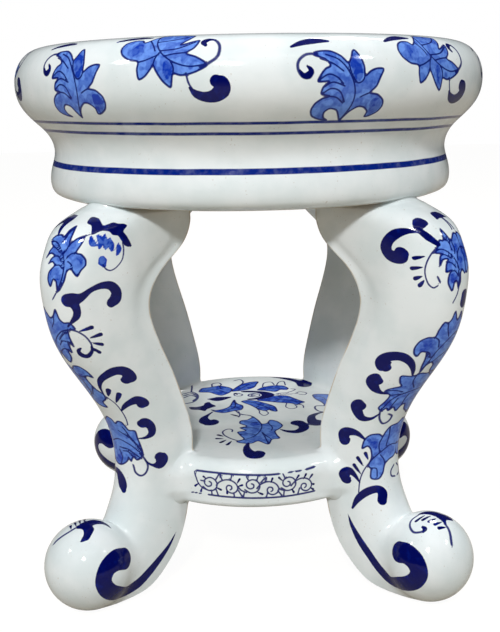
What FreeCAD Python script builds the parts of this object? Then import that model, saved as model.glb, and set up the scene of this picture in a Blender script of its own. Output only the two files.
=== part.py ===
import FreeCAD, Part
import math
import os

# Ceramic garden stool: a hollow round seat and a hollow round shelf, carried by
# four hollow cabriole legs on scroll feet. Every piece is clay of its own, pressed
# or rolled, and luted to its neighbours with slip before the glaze firing.
# Millimetres, +Z up. The origin is on the floor, on the axis of the seat.

# Driving sizes of the whole stool
overall_height = 432.0
seat_depth = 119.0
rim_radius = 190.5
shelf_top_height = 109.0
shelf_depth = 37.5
shelf_radius = 121.5
knee_overhang = 21.0
foot_centre_reach = 189.4
foot_radius = 35.0
sole_flat = 1.0

# Clay thicknesses and slip joints
seat_wall = 8.0
leg_wall = 7.0
shelf_wall = 7.5
seat_joint_gap = 4.0
shelf_joint_gap = 2.5
slip_bead = 3.0

# Seat outline, measured in from the rim
band_inset = 23.5
waist_inset = 28.0
top_flat_inset = 50.0
floor_seam_inset = 17.0
vent_radius = 9.0
leg_vent_radius = 5.0

# Leg outline: how far its edge stands in from the seat's band at the top and from the
# shelf's rim at the shelf, and how deep it is from the edge to the outer face
leg_top_inset = 61.0
knee_depth = 69.0
knee_drop = 42.0
shelf_bite = 18.0
ankle_depth = 50.5

# Leg widths, across the leg from its middle to the sharp edge, and bulge of the inner face
top_half_width = 39.0
knee_half_width = 31.0
ankle_half_width = 27.5
back_bulge = 3.0
foot_bulge = 8.0
outer_roundness = 2.3

# Shelf edges
shelf_edge_radius = 7.0
band_height = 20.5

# Where the legs stand: degrees about +Z from +X
leg_angles = {"front_right": -45.0, "rear_right": 45.0, "rear_left": 135.0, "front_left": -135.0}
bay_angles = {"front": -90.0, "right": 0.0, "rear": 90.0, "left": 180.0}

# Places that follow from the sizes above
seat_floor_height = overall_height - seat_depth
leg_top_height = seat_floor_height - seat_joint_gap
shelf_bottom_height = shelf_top_height - shelf_depth
foot_centre_height = foot_radius - sole_flat
knee_reach = rim_radius + knee_overhang
band_radius = rim_radius - band_inset
floor_seam_radius = band_radius - floor_seam_inset
leg_top_edge_reach = band_radius - leg_top_inset
shin_edge_reach = shelf_radius - shelf_bite
ankle_reach = shin_edge_reach + ankle_depth
up = FreeCAD.Vector(0, 0, 1)
origin = FreeCAD.Vector(0, 0, 0)


def radial(reach, height, across=0.0):
    """A point at a reach from the axis, before the leg is turned to its corner."""
    return FreeCAD.Vector(reach, across, height)


def turned(shape, angle):
    copy = shape.copy()
    copy.rotate(origin, up, angle)
    return copy


def disc(radius, low, high):
    return Part.makeCylinder(radius, high - low, FreeCAD.Vector(0, 0, low))


def spline_edge(points):
    curve = Part.BSplineCurve()
    curve.interpolate(points)
    return curve.toShape()


def even_spline_edge(points):
    """A smooth edge whose points count as evenly spaced, so that sections match in a loft."""
    last = len(points) - 1
    curve = Part.BSplineCurve()
    curve.interpolate(Points=points, Parameters=[index / last for index in range(last + 1)])
    return curve.toShape()


def revolved(outline_points, low_edge, high_edge):
    """Solid of revolution: a smooth outline closed by flat faces to the axis."""
    outline = spline_edge(outline_points)
    first = outline_points[0]
    last = outline_points[-1]
    base = Part.makeLine(radial(0, low_edge), first)
    lid = Part.makeLine(last, radial(0, high_edge))
    axis = Part.makeLine(radial(0, high_edge), radial(0, low_edge))
    face = Part.Face(Part.Wire([base, outline, lid, axis]))
    return face.revolve(origin, up, 360.0)


# The seat
def seat_outline():
    """Outer profile of the seat, from its underside to the flat of its top."""
    floor = seat_floor_height
    rise = seat_depth
    rim = rim_radius
    band = band_radius
    waist = rim - waist_inset
    return [
        radial(band - 11.0, floor),
        radial(band - 2.5, floor + 0.035 * rise),
        radial(band, floor + 0.105 * rise),
        radial(band - 1.8, floor + 0.205 * rise),
        radial(waist, floor + 0.300 * rise),
        radial(waist + 4.0, floor + 0.415 * rise),
        radial(waist + 14.0, floor + 0.505 * rise),
        radial(rim - 2.6, floor + 0.630 * rise),
        radial(rim, floor + 0.735 * rise),
        radial(rim - 3.4, floor + 0.870 * rise),
        radial(rim - 12.5, floor + 0.955 * rise),
        radial(rim - 27.0, overall_height - 1.0),
        radial(rim - top_flat_inset, overall_height),
    ]


def inward(points, wall):
    """The same profile moved in by the wall, square to the profile at each point."""
    moved = []
    for index in range(1, len(points) - 1):
        along = points[index + 1].sub(points[index - 1])
        along.normalize()
        inside = FreeCAD.Vector(-along.z, 0, along.x)
        moved.append(points[index].add(inside.multiply(wall)))
    return moved


def seat_pieces():
    outline = seat_outline()
    body = revolved(outline, seat_floor_height, overall_height)
    floor_top = seat_floor_height + seat_wall
    lid_underside = overall_height - seat_wall
    inner = [point for point in inward(outline, seat_wall) if floor_top < point.z < lid_underside]
    start = radial(band_radius - seat_wall, floor_top)
    finish = radial(rim_radius - top_flat_inset, lid_underside)
    cavity = revolved([start] + inner + [finish], floor_top, lid_underside)
    shell = body.cut(cavity)
    floor_cutter = disc(floor_seam_radius, seat_floor_height - seat_wall, floor_top)
    lid_cutter = disc(floor_seam_radius, lid_underside - seat_wall, overall_height + seat_wall)
    floor = shell.common(floor_cutter)
    lid = shell.common(lid_cutter)
    drum = shell.cut(floor_cutter).cut(lid_cutter)
    floor = floor.cut(disc(vent_radius, seat_floor_height - 1, floor_top + 1))
    leg_vent = disc(leg_vent_radius, seat_floor_height - 1, floor_top + 1)
    leg_vent.translate(radial(leg_vent_reach(), 0))
    for angle in leg_angles.values():
        floor = floor.cut(turned(leg_vent, angle))
    return body, {"seat_top": lid, "seat_drum": drum, "seat_floor": floor}


# The legs
def between(first, second, share):
    return first + (second - first) * share


def leg_stations():
    """
    Cross-sections down one leg. Each has the middle of its sharp inner edge and of its
    outer face, both as reach and height, then the half width and the inner face's bulge.
    """
    top = leg_top_height
    knee = knee_reach
    knee_edge = knee_reach - knee_depth
    shin = shelf_top_height
    foot = foot_centre_reach
    ball = foot_radius
    instep = 1.57 * ball
    notch = 1.88 * ball
    knee_width = knee_half_width
    slim = ankle_half_width

    def upper(drop, edge_reach, outer_reach, half_width):
        height = top - drop * knee_drop
        return (edge_reach, height), (outer_reach, height), half_width, back_bulge

    def shank(rise, edge_share, outer_share, half_width):
        height = between(shin, top, rise)
        edge_reach = between(shin_edge_reach, knee_edge, edge_share)
        outer_reach = between(ankle_reach, knee, outer_share)
        return (edge_reach, height), (outer_reach, height), half_width, back_bulge

    def ankle(share, edge_out, outer_out, half_width):
        edge = (shin_edge_reach + edge_out, between(instep, shin, share))
        outer = (ankle_reach + outer_out, between(notch, shin, share))
        return edge, outer, half_width, back_bulge

    def scroll(back, edge_height, outer_back, outer_height, half_width, bulge):
        edge = (foot - back, edge_height * ball)
        outer = (foot - outer_back, outer_height * ball)
        return edge, outer, half_width, bulge

    return [
        upper(0.00, leg_top_edge_reach, knee - 38.0, top_half_width),
        upper(0.21, leg_top_edge_reach + 1.0, knee - 17.5, top_half_width),
        upper(0.57, leg_top_edge_reach + 7.0, knee - 6.0, top_half_width - 1.5),
        upper(1.00, knee_edge - 11.0, knee, knee_width + 3.0),
        upper(1.48, knee_edge, knee - 0.5, knee_width),
        shank(0.555, 0.885, 0.900, knee_width - 2.0),
        shank(0.385, 0.475, 0.575, slim + 0.5),
        shank(0.228, 0.155, 0.225, slim),
        shank(0.080, -0.040, 0.028, slim),
        ankle(0.80, 0.0, 0.0, slim),
        ankle(0.37, 3.5, 3.5, slim + 1.0),
        scroll(76.5, 1.57, 25.0, 1.88, slim + 2.5, back_bulge + 1.0),
        scroll(65.0, 1.00, 18.0, 1.57, slim + 3.5, back_bulge + 2.5),
        scroll(49.0, 0.58, 12.0, 1.52, slim + 4.0, foot_bulge - 1.0),
        scroll(31.0, 0.31, 6.0, 1.50, slim + 3.0, foot_bulge),
        scroll(12.0, 0.26, 1.0, 1.48, slim - 5.5, foot_bulge - 1.0),
    ]


def leg_vent_reach():
    """Middle of the leg's top, where the seat's floor is pierced for the firing gases."""
    edge, outer, _, _ = leg_stations()[0]
    return min(between(edge[0], outer[0], 0.5), floor_seam_radius - 2 * leg_vent_radius)


def across_leg(station, inset, back_inset):
    """Closed outline across the leg: a round outer face and a nearly flat inner face."""
    (edge_reach, edge_height), (outer_reach, outer_height), half_width, bulge = station
    edge = radial(edge_reach, edge_height)
    span = radial(outer_reach, outer_height).sub(edge)
    depth = span.Length - inset - back_inset
    forward = span.normalize()
    start = edge.add(FreeCAD.Vector(forward).multiply(back_inset))
    width = half_width - inset
    power = 2.0 / outer_roundness
    outer_points = []
    steps = 12
    for step in range(steps + 1):
        turn = math.pi * (step / steps - 0.5)
        reach = depth * max(math.cos(turn), 0.0) ** power
        across = width * math.copysign(abs(math.sin(turn)) ** power, turn)
        outer_points.append(start.add(FreeCAD.Vector(forward).multiply(reach)).add(radial(0, 0, across)))
    swell = max(bulge - 0.5 * (inset + back_inset), 0.5)
    back_points = []
    for share in (0.0, 0.25, 0.5, 0.75, 1.0):
        across = radial(0, 0, width * (1.0 - 2.0 * share))
        hump = FreeCAD.Vector(forward).multiply(-4.0 * swell * share * (1.0 - share))
        back_points.append(start.add(across).add(hump))
    return Part.Wire([even_spline_edge(outer_points), even_spline_edge(back_points)])


def leg_solid(inset=0.0, back_inset=0.0):
    sections = [across_leg(station, inset, back_inset) for station in leg_stations()]
    return Part.makeLoft(sections, True, False)


def behind_parting(wall):
    """Space behind the mould's parting line: the inner plate of the leg is cut by it."""
    stations = leg_stations()
    seam = []
    for edge, outer, _, _ in stations:
        start = radial(*edge)
        forward = radial(*outer).sub(start).normalize()
        seam.append(start.add(forward.multiply(wall)))
    seam.insert(0, seam[0].add(radial(0, seat_joint_gap)))
    seam.append(seam[-1].add(radial(foot_radius, 0)))
    below = radial(seam[-1].x, -foot_radius)
    inside_low = radial(0, -foot_radius)
    inside_high = radial(0, seam[0].z)
    edges = [spline_edge(seam)]
    corners = [seam[-1], below, inside_low, inside_high, seam[0]]
    for first, second in zip(corners, corners[1:]):
        edges.append(Part.makeLine(first, second))
    face = Part.Face(Part.Wire(edges))
    face.translate(radial(0, 0, -2 * top_half_width))
    return face.extrude(radial(0, 0, 4 * top_half_width))


def leg_pieces(seat_body):
    """One leg along +X: its shells, its foot and the slip that holds it at both ends."""
    floor_clearance = disc(3 * rim_radius, -foot_radius, 0)
    body = leg_solid().cut(seat_body).cut(floor_clearance)
    cavity = leg_solid(leg_wall, 0.5 * leg_wall)
    behind = behind_parting(leg_wall)
    inner = body.common(behind)
    outer = body.cut(behind).cut(cavity)
    centre = radial(foot_centre_reach, foot_centre_height)
    ball = Part.makeSphere(foot_radius, centre).cut(Part.makeSphere(foot_radius - leg_wall, centre))
    foot = ball.cut(body).cut(floor_clearance)
    pad = across_leg(leg_stations()[0], slip_bead, slip_bead)
    hollow = across_leg(leg_stations()[0], slip_bead + leg_wall, slip_bead + leg_wall)
    lift = radial(0, seat_joint_gap)
    collar = Part.Face(pad).extrude(lift).cut(Part.Face(hollow).extrude(lift)).cut(seat_body)
    grown = leg_solid(-shelf_joint_gap, -shelf_joint_gap)
    reach = disc(shelf_radius + slip_bead, shelf_bottom_height - slip_bead, shelf_top_height + slip_bead)
    fillet = grown.cut(body).common(reach)
    pieces = {"leg_outer": outer, "leg_inner": inner, "foot_scroll": foot}
    pieces["seat_joint"] = collar
    pieces["shelf_joint"] = fillet
    return grown, pieces


# The shelf
def shelf_pieces(grown_leg):
    band_top = shelf_bottom_height + 0.5 * (shelf_depth - band_height) + band_height
    band_bottom = band_top - band_height
    block = disc(shelf_radius, shelf_bottom_height, shelf_top_height)
    rims = [edge for edge in block.Edges if len(edge.Vertexes) == 1]
    block = block.makeFillet(shelf_edge_radius, rims)
    inner_low = shelf_bottom_height + shelf_wall
    inner_high = shelf_top_height - shelf_wall
    block = block.cut(disc(shelf_radius - shelf_wall, inner_low, inner_high))
    for angle in leg_angles.values():
        block = block.cut(turned(grown_leg, angle))
    lid = block.common(disc(2 * shelf_radius, band_top, overall_height))
    base = block.common(disc(2 * shelf_radius, 0, band_bottom))
    base = base.cut(disc(vent_radius, 0, inner_low))
    pieces = {"shelf_top": lid, "shelf_underside": base}
    wall = block.common(disc(2 * shelf_radius, band_bottom, band_top))
    for bay, angle in bay_angles.items():
        heading = FreeCAD.Vector(math.cos(math.radians(angle)), math.sin(math.radians(angle)), 0)
        strips = [solid for solid in wall.Solids if solid.CenterOfMass.dot(heading) > 0.5 * shelf_radius]
        pieces[f"shelf_wall_{bay}"] = Part.makeCompound(strips)
    return pieces


def single(shape):
    """Leave a piece as one clean solid where it is one."""
    solids = shape.Solids
    return solids[0] if len(solids) == 1 else Part.makeCompound(solids)


def build():
    os.makedirs("parts", exist_ok=True)
    seat_body, pieces = seat_pieces()
    grown_leg, one_leg = leg_pieces(seat_body)
    pieces.update(shelf_pieces(grown_leg))
    for corner, angle in leg_angles.items():
        for name, shape in one_leg.items():
            pieces[f"{corner}_{name}"] = turned(shape, angle)
    for name, shape in pieces.items():
        piece = single(shape)
        piece.exportStep(f"parts/{name}.step")
        print(name, len(piece.Solids), piece.isValid(), round(piece.Volume / 1000.0, 1), "cm3")


build()
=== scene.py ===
# %% [markdown]
# # A blue-and-white ceramic garden stool
# A hollow thrown seat and a hollow round shelf are carried by four pressed legs on
# scroll feet. The clay pieces are luted together, painted with cobalt on the dry
# clay, dipped in a clear glaze and fired, so the finished stool is one hard glossy
# body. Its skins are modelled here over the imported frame, and the painting is laid
# on them stroke by stroke.

import math

import bmesh
import bpy
import numpy as np
from mathutils import Matrix, Vector
from mathutils.bvhtree import BVHTree


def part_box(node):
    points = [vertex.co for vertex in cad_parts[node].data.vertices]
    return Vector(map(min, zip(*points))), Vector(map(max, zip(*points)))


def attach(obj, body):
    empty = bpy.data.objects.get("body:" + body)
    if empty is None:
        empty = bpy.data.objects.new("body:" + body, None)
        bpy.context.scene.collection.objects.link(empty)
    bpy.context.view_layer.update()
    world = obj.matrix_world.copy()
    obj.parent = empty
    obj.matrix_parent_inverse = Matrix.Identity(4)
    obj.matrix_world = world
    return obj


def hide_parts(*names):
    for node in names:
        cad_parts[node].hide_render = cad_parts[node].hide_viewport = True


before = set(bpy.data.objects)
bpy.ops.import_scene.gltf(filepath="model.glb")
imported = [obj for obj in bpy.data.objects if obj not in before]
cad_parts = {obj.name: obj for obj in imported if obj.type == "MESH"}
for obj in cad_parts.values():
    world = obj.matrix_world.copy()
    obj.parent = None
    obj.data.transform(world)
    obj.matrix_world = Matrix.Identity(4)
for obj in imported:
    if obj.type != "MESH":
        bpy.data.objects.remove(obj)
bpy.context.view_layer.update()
mm = 0.001

# %% [markdown]
# ## Sizes
# Every skin has to lie where its clay pieces lie, so the main sizes are read from
# the frame's boxes. The few that no box gives, such as how far the waist is drawn
# in, are written here in millimetres.

# %% Sizes
seat_low, seat_high = (corner.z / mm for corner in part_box("seat_drum"))
rim_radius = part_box("seat_drum")[1].x / mm
seat_depth = seat_high - seat_low
shelf_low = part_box("shelf_underside")[0].z / mm
shelf_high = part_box("shelf_top")[1].z / mm
shelf_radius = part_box("shelf_wall_front")[0].y / -mm
foot_box = [np.array(corner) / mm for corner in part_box("front_left_foot_scroll")]
foot_radius = 35.0
foot_height = foot_box[1][2] - foot_radius
foot_reach = math.sqrt(2) * -(foot_box[0][0] + foot_radius)
seat_wall = 8.0
band_inset = 23.5
waist_inset = 28.0
flat_inset = 50.0
print("seat", rim_radius, seat_low, seat_high, "shelf", shelf_radius, shelf_low, shelf_high)
print("foot", round(foot_reach, 1), round(foot_height, 1))

# %% [markdown]
# ## Smooth lines through a few points
# A potter's profile and a painter's stroke are both one sweep of the hand. A spline
# through a few chosen points gives that sweep. A Catmull-Rom line passes through
# each point, so the points can be read straight off the object. A lower pull keeps
# the tips of leaves sharp.

# %% Smooth lines
def smooth(points, step=1.0, closed=False, pull=0.5):
    """Points along a smooth line through the given ones, about one step apart."""
    given = np.array(points, float)
    if closed:
        given = np.vstack([given[-1:], given, given[:2]])
    else:
        given = np.vstack([2 * given[0] - given[1], given, 2 * given[-1] - given[-2]])
    line = []
    for before, start, end, after in zip(given, given[1:], given[2:], given[3:]):
        count = max(2, math.ceil(np.linalg.norm((end - start)[:2]) / step))
        t = np.linspace(0, 1, count, endpoint=False)[:, None]
        leave, arrive = pull * (end - before), pull * (after - start)
        line.append(start + leave * t + (3 * (end - start) - 2 * leave - arrive) * t**2
                    + (2 * (start - end) + leave + arrive) * t**3)
    if not closed:
        line.append(given[-2:-1])
    return np.vstack(line)


def lengths(line):
    """Distance from the start of a line to each of its points."""
    return np.concatenate([[0.0], np.cumsum(np.linalg.norm(np.diff(line, axis=0), axis=1))])


def even(line, step):
    """The same line with its points an equal step apart."""
    run = lengths(line)
    places = np.linspace(0, run[-1], math.ceil(run[-1] / step) + 1)
    return np.stack([np.interp(places, run, axis) for axis in line.T], 1)


# %% [markdown]
# ## Brushwork
# On the real stool a brush leaves three things: a pale wash that fills a leaf, thin
# dark lines that outline and vein it, and solid dark hooks. A picture texture could
# hold them, but a procedural one stays sharp at any size. So each skin carries, at
# every vertex, its distance to the nearest edge of each kind of stroke, and the
# glaze's shader turns the distances into crisp edges. A line is kept twice, with and
# without the side that it lies on, because only the sided distance passes cleanly
# through zero between two vertices.

# %% Distances to a stroke
def from_line(x, y, line):
    """Distance to a line, the side it lies on, and how far along the line it is."""
    start, run = line[:-1], line[1:] - line[:-1]
    size = np.maximum((run**2).sum(1), 1e-9)
    across = x[:, None] - start[:, 0]
    along = y[:, None] - start[:, 1]
    share = np.clip((across * run[:, 0] + along * run[:, 1]) / size, 0, 1)
    across -= share * run[:, 0]
    along -= share * run[:, 1]
    square = across**2 + along**2
    nearest = square.argmin(1)
    each = np.arange(len(x))
    side = run[nearest, 0] * along[each, nearest] - run[nearest, 1] * across[each, nearest]
    return np.sqrt(square[each, nearest]), np.where(side < 0, -1.0, 1.0), nearest + share[each, nearest]


def within(x, y, loop):
    """Whether each place is inside a closed loop."""
    end = np.roll(loop, -1, 0)
    spans = (loop[:, 1] > y[:, None]) != (end[:, 1] > y[:, None])
    rise = np.where(np.abs(end[:, 1] - loop[:, 1]) < 1e-9, 1e-9, end[:, 1] - loop[:, 1])
    crossing = loop[:, 0] + (end[:, 0] - loop[:, 0]) * (y[:, None] - loop[:, 1]) / rise
    return (spans & (x[:, None] < crossing)).sum(1) % 2 == 1


# %% The painter
# A place far from every stroke keeps the first distance. Distances are worked out no
# further from a stroke than the second.
FAR, MARGIN = 9.0, 3.0
DRAWN_HALF = 0.5
LEAF_PULL, OUTLINE_HALF, RIB_HALF = 0.42, 0.68, 0.55
STROKES = ("wash", "tone", "line_side", "line_near", "dark")


class Painter:
    """Lays strokes on a skin. Places are in millimetres across and along the skin."""

    def __init__(self, count):
        self.fields = {name: np.full(count, FAR) for name in STROKES}
        self.fields["tone"] = np.zeros(count)
        self.put()

    def over(self, across, along, where):
        """Choose the part of the skin to paint, and the two directions to measure in."""
        self.chosen = np.flatnonzero(where)
        self.x, self.y = across[self.chosen], along[self.chosen]

    def put(self, x=0.0, y=0.0, turn=0.0, size=1.0):
        """Place the motifs that follow: moved, turned by degrees and scaled."""
        cos, sin = size * math.cos(math.radians(turn)), size * math.sin(math.radians(turn))
        self.matrix = np.array([[cos, sin], [-sin, cos]])
        self.shift, self.size = np.array([x, y]), size
        return self

    def near(self, points):
        """The places that a stroke through these points can reach."""
        low, high = points.min(0) - MARGIN, points.max(0) + MARGIN
        inside = (self.x > low[0]) & (self.x < high[0]) & (self.y > low[1]) & (self.y < high[1])
        picked = np.flatnonzero(inside)
        return self.chosen[picked], self.x[picked], self.y[picked]

    def keep_least(self, name, rows, value):
        """Where two strokes of a kind overlap, keep the deeper distance."""
        self.fields[name][rows] = np.minimum(self.fields[name][rows], value)

    def line(self, points, half=DRAWN_HALF, closed=False, pull=0.5):
        """A thin dark line, given half its width."""
        line = smooth(points, 1.0, closed, pull)
        if closed:
            line = np.vstack([line, line[:1]])
        line = line @ self.matrix + self.shift
        rows, x, y = self.near(line)
        if len(rows):
            gap, side, _ = from_line(x, y, line)
            gap = gap * DRAWN_HALF / half
            closer = gap < self.fields["line_near"][rows]
            self.fields["line_near"][rows[closer]] = gap[closer]
            self.fields["line_side"][rows[closer]] = (gap * side)[closer]

    def fill(self, points, kind="wash", tone=0.0):
        """A closed shape, filled with a wash or with solid dark."""
        loop = smooth(points, 1.0, True, LEAF_PULL) @ self.matrix + self.shift
        rows, x, y = self.near(loop)
        if len(rows):
            gap, _, _ = from_line(x, y, np.vstack([loop, loop[:1]]))
            inside = within(x, y, loop)
            self.keep_least(kind, rows, np.where(inside, -gap, gap))
            if kind == "wash":
                self.fields["tone"][rows[inside]] = tone

    def brush(self, points, halves, kind="dark", tone=0.0):
        """A stroke that swells and thins, given its half width at each point."""
        line = smooth(np.column_stack([points, halves]), 1.0)
        path = line[:, :2] @ self.matrix + self.shift
        rows, x, y = self.near(np.vstack([path - max(halves), path + max(halves)]))
        if len(rows):
            gap, _, place = from_line(x, y, path)
            half = np.interp(place, np.arange(len(line)), line[:, 2]) * self.size
            self.keep_least(kind, rows, gap - half)
            if kind == "wash":
                self.fields["tone"][rows[gap < half]] = tone

    def leaf(self, outline, ribs, tone=0.0):
        """A washed leaf with its outline and veins drawn in dark."""
        self.fill(outline, tone=tone)
        self.line(outline, OUTLINE_HALF, True, LEAF_PULL)
        for rib in ribs:
            self.line(rib, RIB_HALF)

    def drops(self, drops, half=1.6):
        """Short dashes, each pressed from a thin start to a round end."""
        for start, end in drops:
            middle = (0.45 * start[0] + 0.55 * end[0], 0.45 * start[1] + 0.55 * end[1])
            self.brush([start, middle, end], [0.45, 0.8 * half, half])

    def store(self, mesh, **others):
        """Write the distances to the mesh, one number at each vertex."""
        for name, values in {**self.fields, **others}.items():
            layer = mesh.attributes.new(name, "FLOAT", "POINT")
            layer.data.foreach_set("value", values.astype(np.float32))
        washed, dark = (int((self.fields[name] < 0).sum()) for name in ("wash", "dark"))
        print(mesh.name, "painted, washed at", washed, "and dark at", dark, "vertices")


# %% [markdown]
# ## The motifs on the rim
# Two leaves take turns six times round the rim: one stands up and curls a tendril to
# its left, the other droops from above with a tendril and a dark hook to its right.
# Each is one list of places in millimetres, measured round the rim from the middle of
# the leaf and up the rim from the start of the flare. Painted by hand, no two are
# quite alike, so each turn is moved and leaned a little.

# %% Rim leaves
CHART_RADIUS = 185.0
RIM_REPEATS = 6
rim_pitch = 2 * math.pi * CHART_RADIUS / RIM_REPEATS
print("the rim's leaves repeat every", round(rim_pitch, 1), "mm")


def upright_leaf(painter):
    painter.leaf(
        [(-2, 16), (-4, 20), (-7, 25.5), (-12, 27), (-15.5, 24), (-15, 19.5), (-12, 17), (-18, 18),
         (-23.5, 21), (-25, 26), (-23, 31), (-18.5, 34.5), (-14, 36), (-19.5, 37.5), (-18.5, 42),
         (-15, 45.5), (-22, 45.5), (-20, 50), (-17, 53.5), (-13.5, 55.5), (-17, 60), (-24, 62.5),
         (-22, 65), (-13, 65.5), (-6, 62), (-1.5, 57.5), (1, 60), (3, 65), (5, 66), (8, 61), (10, 55),
         (10.5, 49), (15, 52), (20, 53.5), (24.5, 53), (22, 48), (19, 42), (15, 38), (21, 36.5),
         (26, 32.5), (27, 28), (25, 23.5), (20, 20), (16.5, 19.5), (16.5, 24), (12.5, 27.5),
         (8, 28), (3, 24.5), (0, 20)],
        [[(-16, 63), (-7, 59), (0, 50), (3.5, 40), (3, 30), (-2, 17)],
         [(-20, 60), (-12, 57), (-5, 52)], [(-22, 46), (-15, 50), (-9, 48), (-5, 44)],
         [(-18, 42), (-12, 45), (-4, 42.5)], [(-18.5, 38), (-13, 41), (-7, 39), (-3, 32)],
         [(-15, 36), (-9, 35), (-4, 31)], [(-1, 57), (1, 50), (5, 44.5), (9, 46), (10.5, 50)],
         [(15, 38), (11, 36.5), (8, 35)]])
    painter.fill([(0, 58), (4, 64), (8, 58), (9, 50), (6, 45), (3, 47)], tone=1.0)
    painter.fill([(17, 33), (23, 34), (26, 29), (23, 23), (18, 21)], tone=1.0)
    painter.line([(-22, 63.5), (-29, 63), (-34, 59), (-35, 54), (-32.5, 49), (-28, 48), (-25.5, 51)], 1.0)
    painter.brush([(-34, 53), (-31.5, 49.5), (-28.5, 49.5), (-26.5, 52.5), (-29, 55.5)],
                  [0.6, 1.7, 2.3, 1.8, 0.7])


def drooping_leaf(painter):
    painter.leaf([(-17, 69), (-23, 69), (-28, 66), (-30, 61), (-28, 56), (-22, 52), (-15, 50.5), (-15, 45),
                  (-13.5, 39), (-9, 41), (-5, 46), (-4, 48), (-1, 43), (3, 37.5), (8, 33.5), (9, 37),
                  (10, 42), (15, 41), (20, 41.5), (27, 44), (32, 47.5), (25, 52.5), (18, 55.5), (23, 60),
                  (25, 67), (16, 63.5), (13, 63), (18, 69), (20, 76), (10, 78), (0, 79), (-5, 75),
                  (-10, 69), (-14, 66)],
                 [[(-4, 78), (-5, 70), (-3, 62), (2, 55), (10, 49.5), (20, 46.5), (31, 47.5)],
                  [(-15, 50), (-9, 51.5), (-1, 55)], [(-10, 68), (-6, 62), (-4, 58)],
                  [(-4, 47.5), (-3, 52), (-1, 56)], [(18, 56), (11, 55.5), (3, 54)],
                  [(10, 42), (10, 46), (8, 50)], [(23, 65), (12, 59.5), (0, 58)],
                  [(18, 75), (9, 69), (-4, 66)]])
    painter.fill([(-22, 62), (-18, 66), (-12, 62), (-13, 55), (-19, 54)], tone=0.55)
    painter.fill([(3, 43), (8, 36), (9.5, 42), (9, 47), (4, 51)], tone=0.75)
    painter.fill([(6, 71), (14, 68), (17, 74), (8, 77)], tone=0.6)
    painter.line([(28, 46), (34, 49), (38.5, 53), (39.5, 59), (38, 64), (34.5, 67.5), (30.5, 67)], 1.1)
    painter.brush([(36, 67), (31.5, 67.5), (28.5, 64.5), (30, 61.5)], [0.8, 1.9, 2.3, 1.2])
    painter.line([(18.5, 42), (20, 36), (23, 31)], 0.7)
    painter.brush([(20.5, 33), (24.5, 29), (30, 27), (36, 27.5), (40.5, 31), (40.5, 35), (37.5, 37)],
                  [0.8, 2.6, 3.4, 4.4, 5.6, 5.4, 4.0])


def top_stroke(painter):
    """A plain stroke laid near the flat of the seat, to the left of each leaf."""
    painter.brush([(-38, 69), (-30, 72.5), (-21, 74.5), (-12, 74)], [1.0, 2.5, 3.0, 1.2])


def rim_painting(painter):
    first_upright, first_drooping = 63.0, 133.0
    lean = [(0.0, -5.0, 0), (2.5, -3.0, 3), (-2.0, 0.5, -2), (1.0, 1.0, 2), (-1.5, 2.0, 4), (1.0, 1.0, 0)]
    hang = [(0.0, 0.0, 0), (-1.0, 2.0, -3), (2.0, 1.0, 2), (-2.0, 1.5, -2), (2.0, 6.0, 3), (0.0, 5.0, 0)]
    for repeat in range(RIM_REPEATS):
        for lap in (0, RIM_REPEATS):
            shift, rise, turn = lean[repeat]
            upright_leaf(painter.put(first_upright + rim_pitch * (repeat - lap) + shift, rise, turn))
            top_stroke(painter)
            shift, rise, turn = hang[repeat]
            drooping_leaf(painter.put(first_drooping + rim_pitch * (repeat - lap) + shift, rise, turn))
            top_stroke(painter)
    painter.put()


# %% [markdown]
# ## The motifs on the legs
# Both sides of a leg carry the same painting, mirrored about the middle of its
# rounded outer face. Leaves sit on the middle, and dark hooks, drops and curls grow
# from them towards the edges. Places are in millimetres away from the middle and
# down the leg from its top.

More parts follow.
